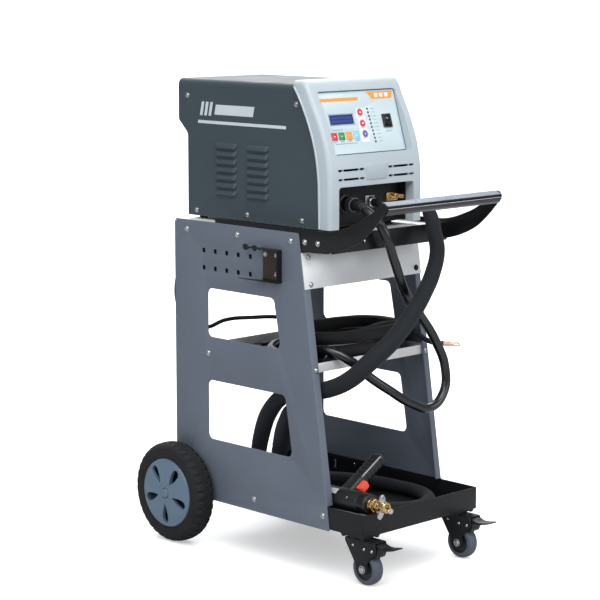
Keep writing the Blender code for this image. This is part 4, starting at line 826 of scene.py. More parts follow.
rear_wheel("left", -1)
rear_wheel("right", 1)
ae = WHEEL_X + 0.0225
obj("rear_axle_bar", lathe([(0, -ae), (0.005, -ae), (0.006, -ae + 0.001), (0.006, ae - 0.001), (0.005, ae), (0, ae)], 'x',
                           (0, WHEEL_Y, WHEEL_R), 40), M["zinc"], rep=("rear_axle",))

# ===================================================================== casters
LEG = [(-0.2090, 0.0870), (-0.2092, 0.0800), (-0.2400, 0.0340), (-0.2440, 0.0250), (-0.2540, 0.0205), (-0.2640, 0.0250),
       (-0.2670, 0.0330), (-0.2660, 0.0450), (-0.2740, 0.0560), (-0.2860, 0.0650), (-0.2890, 0.0760), (-0.2840, 0.0870)]
LEG_R = [0.002, 0.003, 0.006, 0.003, 0.006, 0.003, 0.003, 0.006, 0.004, 0.004, 0.004, 0.002]
PEDAL = [(-0.2610, 0.0770), (-0.2610, 0.0700), (-0.2720, 0.0655), (-0.2780, 0.0590), (-0.2845, 0.0580), (-0.2880, 0.0640),
         (-0.2900, 0.0745), (-0.3000, 0.0758), (-0.3100, 0.0765), (-0.3295, 0.0812), (-0.3300, 0.0826), (-0.3275, 0.0833),
         (-0.3090, 0.0800), (-0.2990, 0.0800), (-0.2900, 0.0830), (-0.2830, 0.0838), (-0.2700, 0.0820)]


def caster(side, s):
    cx = s * CASTER_X
    top = plate([rounded(rect(cx - 0.0240, cx + 0.0240, -0.2640, -0.2030), 0.005, 6),
                 circle(cx, CASTER_SY, 0.0065, 32)], 'z', 0.0922, 0.0947, 0.0005)
    obj("caster_plate_%s_sheet" % side, top, M["dark_screw"], rep=("caster_plate_" + side,))
    bolts = [lathe([(0, -0.0035), (0.0040, -0.0035), (0.0046, -0.0030), (0.0046, 0.0), (0, 0.0)], 'z',
                   (cx + u, CASTER_SY + 0.0045 + v, 0.0920), 6) for u in (-0.0185, 0.0185) for v in (-0.0245, 0.0245)]
    obj("caster_plate_%s_nuts" % side, merge(*bolts), M["dark_screw"], smooth=20)
    legs = [plate([rounded(LEG, LEG_R, 5), circle(CASTER_WY, CASTER_R, 0.0043, 32)], 'x', cx + k * 0.0137, cx + k * 0.0162, 0.0007, 3)
            for k in (-1, 1)]
    bridge = plate([rounded(rect(cx - 0.0160, cx + 0.0160, -0.2835, -0.2095), 0.003, 4)], 'z', 0.0846, 0.0868, 0.0006)
    ring = lathe([(0, 0.0860), (0.0200, 0.0860), (0.0208, 0.0866), (0.0208, 0.0878), (0.0198, 0.0884), (0.0198, 0.0894),
                  (0.0188, 0.0906), (0.0170, 0.0915), (0.0060, 0.0915), (0.0060, 0.0940), (0.0055, 0.0944), (0, 0.0944)], 'z',
                 (cx, CASTER_SY, 0), 56)
    obj("caster_fork_%s_pressing" % side, merge(bridge, ring, *legs), M["black_coat"], "caster_" + side,
        ("caster_fork_" + side,))
    riv = [facing(lathe([(0, 0), (0.0030, 0), (0.0030, 0.0004), (0.0024, 0.0013), (0.0012, 0.0017), (0, 0.0018)], 'z', (0, 0, 0), 20),
                  (cx + k * 0.0162, y, z), (k, 0, 0)) for k in (-1, 1) for y, z in ((-0.2585, 0.0715), (-0.2782, 0.0706))]
    riv.append(facing(lathe([(0, 0), (0.0026, 0), (0.0026, 0.0004), (0.0020, 0.0011), (0, 0.0014)], 'z', (0, 0, 0), 20),
                      (cx - 0.0162, -0.2300, 0.0745), (-1, 0, 0)))
    obj("caster_rivets_" + side, merge(*riv), M["steel"], "caster_" + side, smooth=40)
    c = (cx, CASTER_WY, CASTER_R)
    w = 0.0115
    tread = [(0.0212, -w + 0.0010), (0.0216, -w), (0.0262, -w), (0.0285, -w + 0.0010), (0.0303, -w + 0.0032), (0.0312, -w + 0.0062),
             (0.0315, -w + 0.0090), (0.0315, w - 0.0090), (0.0312, w - 0.0062), (0.0303, w - 0.0032), (0.0285, w - 0.0010),
             (0.0262, w), (0.0216, w), (0.0212, w - 0.0010)]
    obj("caster_wheel_%s_tread" % side, lathe(tread, 'x', c, 72, closed=True), M["tread"], "caster_roller_" + side,
        ("caster_wheel_" + side,), smooth=40)
    core = [(0.0043, -w), (0.0098, -w), (0.0104, -w + 0.0006), (0.0108, -w + 0.0022), (0.0185, -w + 0.0022), (0.0192, -w + 0.0006),
            (0.0212, -w + 0.0004), (0.0212, w - 0.0004), (0.0192, w - 0.0006), (0.0185, w - 0.0022), (0.0108, w - 0.0022),
            (0.0104, w - 0.0006), (0.0098, w), (0.0043, w)]
    obj("caster_wheel_%s_core" % side, lathe(core, 'x', c, 56, closed=True), M["core"], "caster_roller_" + side,
        smooth=35)
    hexh = merge(lathe([(0, -0.0205), (0.0050, -0.0205), (0.0060, -0.0198), (0.0064, -0.0190), (0.0064, -0.0170), (0, -0.0170)], 'x', c, 6),
                 lathe([(0, -0.0170), (0.0078, -0.0170), (0.0078, -0.0163), (0, -0.0163)], 'x', c, 32),
                 lathe([(0, -0.0163), (0.0039, -0.0163), (0.0039, 0.0163), (0, 0.0163)], 'x', c, 24),
                 lathe([(0, 0.0163), (0.0078, 0.0163), (0.0078, 0.0170), (0, 0.0170)], 'x', c, 32),
                 lathe([(0, 0.0170), (0.0064, 0.0170), (0.0064, 0.0190), (0.0058, 0.0198), (0.0046, 0.0200), (0.0032, 0.0202),
                        (0.0030, 0.0210), (0, 0.0210)], 'x', c, 6))
    obj("caster_bolt_" + side, hexh, M["steel"], "caster_" + side, ("caster_axle_" + side,), smooth=25)
    ped = plate([rounded(PEDAL, 0.0004, 2)], 'x', cx - 0.0125, cx + 0.0125, 0.0004, 2)
    obj("brake_pedal_%s_pressing" % side, ped, M["black_coat"], "caster_brake_" + side,
        ("brake_pedal_" + side,))


caster("left", -1)
caster("right", 1)

# ============================================================== power unit cover
CX, CZ0, CZ1, CT = 0.120, 0.649, 0.918, 0.0015


def arch(xo, ztop, r, n=8):
    return [(xo, CZ0)] + [(xo - r + r * math.cos(math.pi / 2 * k / n), ztop - r + r * math.sin(math.pi / 2 * k / n))
                          for k in range(n + 1)]


outer, inner = arch(CX, CZ1, 0.013), arch(CX - CT, CZ1 - CT, 0.0115)
section = outer + [(-x, z) for x, z in reversed(outer)] + [(-x, z) for x, z in inner] + list(reversed(inner))
FRONT_EDGE = [(-0.1180, 0.640), (-0.1180, 0.699), (-0.1160, 0.749), (-0.1070, 0.7985), (-0.0920, 0.841), (-0.0710, 0.883),
              (-0.0535, 0.910), (-0.0530, 0.930)]
side_view = [(0.285, 0.930), (0.285, 0.8400), (0.2842, 0.8365), (0.2825, 0.8342), (0.2650, 0.8175), (0.2615, 0.8140),
             (0.2592, 0.8105), (0.258, 0.8050), (0.258, 0.640)] + [tuple(p) for p in catmull(FRONT_EDGE, 4)]
LOUVRES = [(0.698 + 0.0152 * i, y0, y1) for i in range(7) for y0, y1 in ((0.116, 0.176), (0.026, 0.088))]
shell = cut(prism(section, 'y', -0.130, 0.300), 'INTERSECT', prism(side_view, 'x', -0.2, 0.2))
slots = merge(*[prism(rect(-0.15, 0.15, y0 + 0.002, y1 - 0.002), 'z', zc - 0.0030, zc + 0.0012) for zc, y0, y1 in LOUVRES])
shell = cut(shell, 'DIFFERENCE', slots)
obj("cover_shell_sheet", shell, M["cover"], rep=("cover_shell",), smooth=30)


def louvre(s, zc, y0, y1):
    """Pressed hood over a slot: rises from the sheet, rolls over, and is open below."""
    x0 = CX
    st = []
    n = 20
    for k in range(n + 1):
        y = y0 + (y1 - y0) * k / n
        e = min(k, n - k) / n * (y1 - y0)
        t = math.sin(min(1.0, e / 0.0060) * math.pi / 2) ** 0.7
        lift = lambda o: x0 - 0.0004 + o * t
        sec = [(lift(0.0), zc + 0.0084), (lift(0.0022), zc + 0.0066), (lift(0.0039), zc + 0.0042), (lift(0.0050), zc + 0.0016),
               (lift(0.0055), zc - 0.0008), (lift(0.0056), zc - 0.0026), (lift(0.0046), zc - 0.0026), (lift(0.0043), zc - 0.0008),
               (lift(0.0036), zc + 0.0012), (lift(0.0020), zc + 0.0030), (lift(-0.0002) - 0.0006, zc + 0.0046),
               (lift(-0.0002) - 0.0006, zc + 0.0084)]
        st.append([V((s * x, y, z)) for x, z in sec])
    return loft(st)


obj("cover_louvre_hoods", merge(*[louvre(s, *l) for s in (-1, 1) for l in LOUVRES]), M["cover"], smooth=45)
# dark sheets behind the louvres, fixed to the inside of the cover: painted shade of the machine's dark inside, seen
# through the slots
obj("cover_louvre_painted_shade", merge(*[block((min(s * 0.1176, s * 0.1182), y0 - 0.004, 0.690), (max(s * 0.1176, s * 0.1182), y1 + 0.004, 0.800), 0.0)
                                    for s in (-1, 1) for y0, y1 in ((0.116, 0.176), (0.026, 0.088))]), M["dark_inside"],
    smooth=None)
for nm, s in (("left", -1), ("right", 1)):
    screws("cover_screws_" + nm, [((s * CX, y, z), (s, 0, 0)) for y, z in
                                  ((0.258, 0.885), (-0.050, 0.880), (0.233, 0.660), (0.086, 0.662), (-0.0655, 0.663))],
           M["zinc"], r=0.0046)
# painted graphic: plain stripes and bars, no lettering
gl = []
for s in (-1,):
    x = s * CX
    sl = 0.006
    for k in range(3):
        y = 0.2215 - 0.0125 * k
        gl.append(prism([(y, 0.8475), (y - 0.0075, 0.8475), (y - 0.0075 - sl, 0.8745), (y - sl, 0.8745)], 'x', x - 0.00025, x + 0.0001))
    gl.append(prism([(0.1790, 0.8505), (0.0690, 0.8505), (0.0645, 0.8700), (0.1745, 0.8700)], 'x', x - 0.00025, x + 0.0001))
    for k in range(1):
        gl.append(prism(rect(-0.0225, 0.2270, 0.8320, 0.8380), 'x', x - 0.00025, x + 0.0001))
obj("cover_graphic_left", merge(*gl), M["graphic"], smooth=None)

# ================================================================== front bezel
BX = 0.126
FR = [tuple(p) for p in catmull([(-0.1455, 0.6600), (-0.1455, 0.700), (-0.1445, 0.751), (-0.1405, 0.779), (-0.1340, 0.807),
                                 (-0.1240, 0.834), (-0.1140, 0.857), (-0.0935, 0.896)], 4)] \
    + [(-0.0908, 0.9018), (-0.0885, 0.9066), (-0.0862, 0.9112), (-0.0836, 0.9152), (-0.0806, 0.9188), (-0.0770, 0.9217),
       (-0.0732, 0.9239), (-0.0690, 0.9250)]
SM = [tuple(p) for p in catmull([(-0.0484, 0.912), (-0.0670, 0.883), (-0.0880, 0.841), (-0.1030, 0.7985), (-0.1120, 0.749),
                                 (-0.1140, 0.699), (-0.1150, 0.651)], 4)]
bz_prof = [(-0.1455, 0.6510)] + FR + [(-0.0480, 0.9250)] + SM
bz = prism(bz_prof, 'x', -BX, BX)
fr_edges, sm_edges = [], []
for e in bz.edges:
    a, b = e.verts[0].co, e.verts[1].co
    if abs(a.x - b.x) < 1e-6 and abs(abs(a.x) - BX) < 1e-6:
        m = (a + b) / 2
        near_front = min(math.hypot(m.y - y, m.z - z) for y, z in FR)
        near_seam = min(math.hypot(m.y - y, m.z - z) for y, z in SM)
        if m.z < 0.652:
            continue
        (fr_edges if near_front < near_seam or m.z > 0.9240 else sm_edges).append(e)
bmesh.ops.bevel(bz, geom=fr_edges, offset=0.0085, segments=7, profile=0.5, affect='EDGES', clamp_overlap=True)
# pocket, window, recess, vents and the hollow behind
CP_TOP = V((0.0, -0.086, 0.903))
CP_DOWN = V((0, -0.3136, -1)).normalized()
CP_OUT = V((0, -1, 0.3136)).normalized()
CPM = Matrix(((1, CP_DOWN.x, CP_OUT.x, CP_TOP.x), (0, CP_DOWN.y, CP_OUT.y, CP_TOP.y), (0, CP_DOWN.z, CP_OUT.z, CP_TOP.z), (0, 0, 0, 1)))
CP_W, CP_H = 0.105, 0.125


def on_cp(bm):
    """Local x across, y down the slope, z out of the panel."""
    return moved(bm, CPM)


def cp_pt(u, s, n):
    return CPM @ V((u, s, n))


ymid = lambda z: CP_TOP.y - (CP_TOP.z - z) * 0.3136
cavity = prism([(-0.02, 0.733), (-0.1405, 0.733), (-0.1400, 0.768), (-0.1235, 0.7725), (ymid(0.905) + 0.0065, 0.9050),
                (ymid(0.905) + 0.0065, 0.9188), (-0.02, 0.9188)], 'x', -0.1222, 0.1222)
legs = [prism(rect(-0.1415, -0.02, 0.600, 0.740), 'x', a, b) for a, b in ((-0.1222, -0.1045), (0.1045, 0.1222))]
recess = prism(rounded([(-0.1015, 0.60), (0.1015, 0.60), (0.1015, 0.729), (-0.1015, 0.729)], [0, 0, 0.006, 0.006], 6), 'y', -0.20, -0.02)
pocket = on_cp(prism(rounded(rect(-CP_W, CP_W, 0.0, CP_H), 0.006, 6), 'z', -0.0020, 0.060))
window = on_cp(prism(rect(-0.098, 0.098, 0.008, 0.117), 'z', -0.040, 0.010))
VENTS = ((-0.1025, -0.0905), (-0.0888, -0.0470), (-0.0453, -0.0325), (0.0325, 0.0445), (0.0462, 0.0880), (0.0897, 0.1025))
vent = merge(*[prism(rounded(rect(x0, x1, zc - 0.0021, zc + 0.0021), 0.0018, 4), 'y', -0.16, -0.125)
               for zc in (0.7600, 0.7430) for x0, x1 in VENTS])
bz = cut(bz, 'DIFFERENCE', cavity, legs[0], legs[1], recess, pocket, window, vent)
obj("front_bezel_moulding", bz, M["bezel"], rep=("front_bezel",), smooth=28)
# rounded bead along the rear lip and a plain raised pad
bead = []
for s in (-1, 1):
    path = [V((s * (BX - 0.0012), y - 0.0030, z)) for y, z in SM] + [V((s * (BX - 0.0012), -0.1172, 0.6525))]
    bead.append(sweep([path[0], path[4], path[8], path[12], path[16], path[20], path[-1]], 0.0024, n=12))
bead.append(sweep([V((-0.1170, -0.0520, 0.9225)), V((0, -0.0520, 0.9225)), V((0.1170, -0.0520, 0.9225))], 0.0024, n=12))
# the bead is in the lighter bezel colour: painted highlight on the rounded lip
obj("front_bezel_bead", merge(*bead), M["bezel_light"])
pad = prism(rounded(rect(-0.0285, 0.0285, 0.7390, 0.7690), 0.005, 5), 'y', -0.1460, -0.1400)
obj("front_bezel_pad", bevelled(pad, 0.0005, 2), M["bezel"])

# ================================================================ control panel
KEYS = (("mode_key_red", -0.0805, "red"), ("mode_key_green", -0.0612, "green"), ("mode_key_orange", -0.0413, "orange"),
        ("mode_key_blue", -0.0214, "blue"))
KS, KHW, KHH = 0.0863, 0.0078, 0.0071
ROUND = (("up_button", 0.0000, 0.0425, "red"), ("down_button", 0.0009, 0.0643, "red"), ("select_button", 0.0022, 0.0846, "purple"))
LCD = (-0.0834, -0.0209, 0.0453, 0.0637)
SW = (0.0679, 0.0621)
holes = [rounded(rect(*LCD), 0.001, 3), rect(SW[0] - 0.0103, SW[0] + 0.0103, SW[1] - 0.0117, SW[1] + 0.0117)]
holes += [rounded(rect(u - KHW - .0003, u + KHW + .0003, KS - KHH - .0003, KS + KHH + .0003), 0.0012, 3) for _, u, _m in KEYS]
holes += [circle(u, s, 0.0068, 32) for _, u, s, _m in ROUND]
cp_out = rounded(rect(-CP_W + 0.0005, CP_W - 0.0005, 0.0005, CP_H - 0.0005), 0.0055, 6)
obj("control_panel_foil", on_cp(plate([cp_out] + holes, 'z', -0.0015, 0.0, 0.0002, 1)), M["foil"], rep=("control_panel",))


def decal(name, loops, mat, h=0.00012, base=0.0):
    return obj(name, on_cp(merge(*[prism(l, 'z', base, base + h) for l in loops])), mat, smooth=None)


decal("panel_title_bar", [rect(-0.1018, 0.0025, 0.0130, 0.0194)], M["foil_orange"])
decal("panel_corner_tab", [[(0.0280, 0.0040), (0.0995, 0.0040), (0.0947, 0.0185), (0.0400, 0.0185)]], M["foil_orange"])
decal("panel_tab_lines", [[(0.0480 + .014 * k, 0.0072), (0.0585 + .014 * k, 0.0072), (0.0565 + .014 * k, 0.0150), (0.0490 + .014 * k, 0.0150)]
                          for k in range(3)], M["foil_card"], 0.00008, 0.00012)
card = plate([rounded(rect(-0.0098, 0.0106, 0.0344, 0.0998), 0.002, 4)] + [circle(u, s, 0.0067, 32) for _, u, s, _m in ROUND], 'z', 0.0, 0.00012, 0.0)
obj("panel_button_card", on_cp(card), M["foil_card"], smooth=None)
decal("panel_lcd_frame", [rect(LCD[0] - .0022, LCD[0] - .0002, LCD[2] - .0022, LCD[3] + .0022), rect(LCD[1] + .0002, LCD[1] + .0022, LCD[2] - .0022, LCD[3] + .0022),
                          rect(LCD[0] - .0002, LCD[1] + .0002, LCD[2] - .0022, LCD[2] - .0002), rect(LCD[0] - .0002, LCD[1] + .0002, LCD[3] + .0002, LCD[3] + .0022)],
      M["foil_grey"])
decal("panel_captions", [rect(u - 0.0052, u + 0.0052, 0.0950, 0.0972) for _, u, _m in KEYS]
      + [rect(-0.0810, -0.0230, 0.1000, 0.1016), rect(0.0600, 0.0760, 0.0815, 0.0833), rect(-0.0830, -0.0550, 0.0735, 0.0752)]
      + [rect(-0.0055, 0.0055, s, s + 0.0012) for s in (0.0502, 0.0720, 0.0923)], M["foil_grey"])
decal("panel_scale_lines", [rect(0.0300 + .0006 * k, 0.0405 + .0006 * k, 0.0367 + .0071 * k - .0006, 0.0367 + .0071 * k + .0006) for k in range(10)],
      M["foil_grey"])
dots = [moved(lathe([(0, 0), (0.0021, 0), (0.0020, 0.0006), (0.0013, 0.0010), (0, 0.0011)], 'z', (0, 0, 0), 20),
              CPM @ Matrix.Translation((0.0213 + 0.00054 * k, 0.0367 + 0.00711 * k, 0.0))) for k in range(10)]
obj("panel_indicator_dots", merge(*dots), M["black_plastic"])
for nm, u, m in KEYS:
    k = prism(rounded(rect(u - KHW, u + KHW, KS - KHH, KS + KHH), 0.0012, 4), 'z', -0.0014, 0.0008)
    obj(nm + "_cap", on_cp(bevelled(k, 0.0004, 2)), M[m], nm + "_cap", (nm,))
    mark = prism(rect(u - 0.0022, u + 0.0022, KS - 0.0006, KS + 0.0006), 'z', 0.0007, 0.0009)
    obj(nm + "_mark", on_cp(mark), M["foil_white"], nm + "_cap", smooth=None)
for nm, u, s, m in ROUND:
    k = lathe([(0, -0.0014), (0.0065, -0.0014), (0.0065, 0.0005), (0.0063, 0.0009), (0.0057, 0.0011), (0.0046, 0.0010), (0, 0.0008)], 'z', (u, s, 0), 40)
    ring = lathe([(0.0071, 0.0001), (0.0084, 0.0001), (0.0083, 0.0004), (0.0072, 0.0004)], 'z', (u, s, 0), 40, True)
    obj(nm + "_surround", on_cp(ring), M["foil_pink" if m == "red" else "foil_lilac"], smooth=None)
    obj(nm + "_dome", on_cp(k), M[m], nm + "_cap", (nm,), smooth=50)
    tri = [(u - 0.0026, s + 0.0017), (u + 0.0026, s + 0.0017), (u, s - 0.0024)] if nm == "up_button" else \
        [(u - 0.0026, s - 0.0017), (u + 0.0026, s - 0.0017), (u, s + 0.0024)] if nm == "down_button" else circle(u, s, 0.0012, 12)
    obj(nm + "_mark", on_cp(prism(tri, 'z', 0.0007, 0.00115)), M["foil_white"], nm + "_cap", smooth=None)
g = 0.0003
lcd = prism(rect(LCD[0] + g, LCD[1] - g, LCD[2] + g, LCD[3] - g), 'z', -0.0060, -0.0004)
obj("lcd_window", on_cp(lcd), M["lcd"], rep=("lcd_display",), smooth=None)
cells = [prism(rect(-0.0800 + .00352 * i, -0.0800 + .00352 * i + 0.0028, 0.0482 + .0070 * j, 0.0482 + .0070 * j + 0.0054), 'z', -0.0004, -0.00034)
         for i in range(16) for j in range(2)]
obj("lcd_cells", on_cp(merge(*cells)), M["lcd_cell"], smooth=None)
# rocker switch: frame, well and a concave rocker
fr = prism(rounded(rect(SW[0] - 0.0118, SW[0] + 0.0118, SW[1] - 0.0132, SW[1] + 0.0132), 0.0012, 4), 'z', 0.0003, 0.0024)
fr = bevelled(fr, 0.0005, 2)
fr = cut(fr, 'UNION', prism(rect(SW[0] - 0.0100, SW[0] + 0.0100, SW[1] - 0.0114, SW[1] + 0.0114), 'z', -0.0160, 0.0012))
fr = cut(fr, 'DIFFERENCE', prism(rect(SW[0] - 0.0070, SW[0] + 0.0070, SW[1] - 0.0103, SW[1] + 0.0103), 'z', -0.0120, 0.0100))
obj("power_switch_bezel", on_cp(fr), M["black_plastic"], rep=("power_switch_frame",), smooth=30)
tilt = math.radians(8)
prof = [(-0.0092, 0.0042), (-0.0070, 0.0034), (-0.0035, 0.0025), (0.0, 0.0022), (0.0035, 0.0025), (0.0070, 0.0034), (0.0092, 0.0042),
        (0.0086, -0.0045), (0.0, -0.0075), (-0.0086, -0.0045)]
rock = prism([(y, z) for y, z in prof], 'x', -0.0066, 0.0066)
for v in rock.verts:
    y, z = v.co.y, v.co.z
    v.co = V((SW[0] + v.co.x, SW[1] + y * math.cos(tilt) - z * math.sin(tilt), y * math.sin(tilt) + z * math.cos(tilt)))
obj("power_rocker_cap", on_cp(bevelled(rock, 0.0003, 2, 45)), M["gloss_black"], "rocker", ("power_rocker",), smooth=30)
bar = prism(rect(SW[0] - 0.0005, SW[0] + 0.0005, -0.0062, -0.0024), 'z', 0.0, 0.0001)
for v in bar.verts:
    y, z = v.co.y, v.co.z + 0.00345
    v.co = V((v.co.x, SW[1] + y * math.cos(tilt) - z * math.sin(tilt), y * math.sin(tilt) + z * math.cos(tilt)))
obj("power_rocker_mark", on_cp(bar), M["foil_white"], "rocker", smooth=None)

# dark strip along the foil's lower edge: painted shadow line at the bottom of the panel recess
decal("panel_lower_painted_shadow", [rect(-0.1030, 0.1030, 0.1204, 0.1230)], M["line_dark"], 0.0003, 0.0002)
# dark strips round the foil's edges: painted shade of the gap between the foil plate and its pocket
w_, h_ = CP_W, CP_H
strips = [prism(rect(-w_ + 0.0004, w_ - 0.0004, h_ - 0.0020, h_ - 0.0002), 'z', -0.0018, 0.0006),
          prism(rect(w_ - 0.0013, w_ - 0.0002, 0.004, h_ - 0.004), 'z', -0.0018, 0.0003),
          prism(rect(-w_ + 0.0002, -w_ + 0.0009, 0.004, h_ - 0.004), 'z', -0.0018, 0.0003),
          prism(rect(-w_ + 0.0040, w_ - 0.0040, 0.0002, 0.0012), 'z', -0.0018, 0.0003)]
obj("control_panel_painted_gap_shade", on_cp(merge(*strips)), M["dark_inside"], smooth=None)

# ====================================================== recess, sockets, terminals
PY = -0.1068                       # front of the connector plate
SOCK, CSOCK, BT = (-0.047, 0.6930), (0.0185, 0.6915), ((0.0730, 0.6960), (0.0920, 0.6985))
sk = [(0, 0), (0.0185, 0), (0.0188, -0.0006), (0.0188, -0.0024), (0.0180, -0.0030), (0.0140, -0.0036), (0.0140, -0.0120),
      (0.0150, -0.0130), (0.0156, -0.0138), (0.0156, -0.0164), (0.0148, -0.0174), (0.0120, -0.0180), (0, -0.0180)]
sock = lathe([(r, PY + a) for r, a in sk], 'y', (SOCK[0], 0, SOCK[1]), 48)
for v in sock.verts:                # grip flutes on the locking ring
    d = V((v.co.x - SOCK[0], v.co.z - SOCK[1]))
    if d.length > 0.0145 and v.co.y < PY - 0.012:
        k = round(math.atan2(d.y, d.x) / (2 * math.pi) * 48)
        if k % 4 == 0:
            d *= 0.94
            v.co.x, v.co.z = SOCK[0] + d.x, SOCK[1] + d.y
obj("weld_output_socket_ring", sock, M["black_plastic"], rep=("weld_output_socket",), smooth=30)
flange = plate([rounded(rect(CSOCK[0] - 0.0125, CSOCK[0] + 0.0125, CSOCK[1] - 0.0125, CSOCK[1] + 0.0125), 0.002, 4)], 'y',
               PY - 0.0025, PY, 0.0005)
nut = [(0, -0.0020), (0.0105, -0.0020), (0.0110, -0.0026), (0.0110, -0.0100), (0.0106, -0.0112), (0.0092, -0.0125), (0, -0.0125)]
nut = lathe([(r, PY + a) for r, a in nut], 'y', (CSOCK[0], 0, CSOCK[1]), 60)
for v in nut.verts:                 # knurling
    d = V((v.co.x - CSOCK[0], v.co.z - CSOCK[1]))
    k = round(math.atan2(d.y, d.x) / (2 * math.pi) * 60)
    if d.length > 0.0102 and k % 2:
        d *= 0.955
        v.co.x, v.co.z = CSOCK[0] + d.x, CSOCK[1] + d.y
obj("control_socket_nut", merge(flange, nut), M["steel"], rep=("control_socket",), smooth=25)
screws("control_socket_screws", [((CSOCK[0] + u, PY - 0.0025, CSOCK[1] + w), (0, -1, 0)) for u in (-0.0095, 0.0095) for w in (-0.0095, 0.0095)],
       M["zinc"], r=0.0016, h=0.0010, washer=False)
bt = [plate([rounded(rect(0.0630, 0.0990, 0.6885, 0.7060), 0.003, 5)], 'y', PY - 0.003, PY, 0.0006)]
for bx_, bz_ in BT:
    bt.append(lathe([(0, PY - 0.0028), (0.0064, PY - 0.0028), (0.0066, PY - 0.0034), (0.0066, PY - 0.0080), (0.0060, PY - 0.0088), (0, PY - 0.0088)],
                    'y', (bx_, 0, bz_), 6))
    st = [(0, PY - 0.0080)]
    z = 0.0086
    while z < 0.0200:               # thread
        st += [(0.0045, PY - z), (0.0040, PY - z - 0.0006)]
        z += 0.0012
    st += [(0.0036, PY - 0.0207), (0, PY - 0.0210)]
    bt.append(lathe(st, 'y', (bx_, 0, bz_), 32))
obj("brass_terminal_studs", merge(*bt), M["brass"], rep=("brass_terminal",), smooth=25)

# ========================================================================= cables
WELD = [(-0.047, -0.1268, 0.6928), (-0.052, -0.150, 0.6915), (-0.054, -0.180, 0.6800), (-0.047, -0.203, 0.6560),
        (-0.0135, -0.205, 0.5881), (0.018, -0.200, 0.5315), (0.046, -0.196, 0.4990), (0.074, -0.192, 0.4741),
        (0.1175, -0.192, 0.4201), (0.1410, -0.196, 0.3650), (0.1330, -0.200, 0.3187), (0.0950, -0.200, 0.2940),
        (0.0500, -0.195, 0.3065), (-0.0058, -0.185, 0.3404), (-0.045, -0.172, 0.3688), (-0.0785, -0.158, 0.4000),
        (-0.105, -0.118, 0.4205), (-0.118, -0.060, 0.4120), (-0.110, 0.010, 0.3990), (-0.070, 0.070, 0.3985),
        (0.0, 0.095, 0.3990), (0.060, 0.070, 0.3990)]
HOSE_P = [(0.0185, -0.1210, 0.6915, 0.30), (0.0190, -0.1350, 0.6905, 0.30), (0.0320, -0.1600, 0.6900, 0.32),
          (0.0520, -0.1820, 0.6920, 0.36), (0.0690, -0.1980, 0.6900, 0.50), (0.0765, -0.2090, 0.6740, 0.84),
          (0.0795, -0.2190, 0.6400, 0.88), (0.0800, -0.2270, 0.6000, 0.88), (0.0620, -0.2310, 0.5600, 0.92),
          (0.0352, -0.2350, 0.5272, 0.96), (-0.003, -0.2350, 0.4858, 1.0), (-0.0438, -0.2270, 0.4440, 1.0),
          (-0.0850, -0.2080, 0.4060, 1.0), (-0.1080, -0.1830, 0.3750, 1.0), (-0.1220, -0.1400, 0.3520, 1.0),
          (-0.1200, -0.0800, 0.3400, 1.0), (-0.1160, -0.0200, 0.3240, 1.0), (-0.1120, 0.0300, 0.2850, 1.0),
          (-0.1080, 0.0600, 0.2300, 1.0), (-0.1000, 0.0780, 0.1750, 0.92), (-0.0750, 0.0980, 0.1320, 0.80),
          (-0.0200, 0.1080, 0.1125, 0.76), (0.0500, 0.0850, 0.1125, 0.76), (0.1000, 0.0200, 0.1125, 0.76),
          (0.1250, -0.0800, 0.1125, 0.76), (0.1150, -0.1700, 0.1125, 0.76), (0.0700, -0.2150, 0.1125, 0.76),
          (0.0100, -0.2150, 0.1125, 0.76), (-0.0350, -0.1700, 0.1125, 0.76), (-0.0500, -0.0900, 0.1125, 0.76),
          (-0.0650, -0.0200, 0.1140, 0.76), (-0.0950, 0.0130, 0.1300, 0.82), (-0.1120, 0.0080, 0.1700, 0.94),
          (-0.1160, -0.0020, 0.2200, 0.98), (-0.1180, -0.0200, 0.2700, 0.98), (-0.1190, -0.0480, 0.2960, 0.94),
          (-0.1190, -0.0720, 0.2700, 0.94), (-0.1180, -0.0680, 0.2200, 0.88), (-0.1160, -0.0470, 0.1800, 0.76),
          (-0.1155, -0.0500, 0.1500, 0.66), (-0.1160, -0.0780, 0.1427, 0.62), (-0.1160, -0.0872, 0.1430, 0.62)]
HOSE = [p[:3] for p in HOSE_P]
CORD = [(0.070, 0.2500, 0.690), (0.070, 0.2750, 0.6850), (0.0560, 0.2920, 0.6600), (-0.0100, 0.2960, 0.6250), (-0.0820, 0.2940, 0.5850), (-0.1220, 0.2900, 0.5250),
        (-0.1280, 0.2820, 0.4600), (-0.1190, 0.2600, 0.4230), (-0.1044, 0.2200, 0.4239), (-0.0766, 0.2000, 0.4372),
        (-0.0411, 0.150, 0.4445), (-0.0173, 0.120, 0.4463), (0.0300, 0.095, 0.4380), (0.0700, 0.086, 0.4226),
        (0.1080, 0.090, 0.4040), (0.1250, 0.110, 0.3935), (0.1000, 0.132, 0.3912), (0.030, 0.138, 0.3912),
        (-0.040, 0.132, 0.3912)]
COIL_C, COIL_A, COIL_B = (0.0240, -0.0420), 0.1160, 0.0700
soft = lambda v: math.copysign(abs(v) ** 0.72, v)
GROUND_P = []
for k in range(29):
    a = math.radians(120 + k * 30)
    up = min(1.0, max(0.0, (k - 10) / 5.0))
    GROUND_P.append((COIL_C[0] + COIL_A * soft(math.cos(a)), COIL_C[1] + COIL_B * soft(math.sin(a)), 0.4096 + 0.0262 * up, 1.0))
GROUND_P += [(0.1390, -0.0900, 0.4330, 0.80), (0.1380, -0.1200, 0.4260, 0.46), (0.1385, -0.1480, 0.4150, 0.40),
              (0.1450, -0.1660, 0.4100, 0.40), (0.1620, -0.1745, 0.4080, 0.40)]
GROUND = [p[:3] for p in GROUND_P]


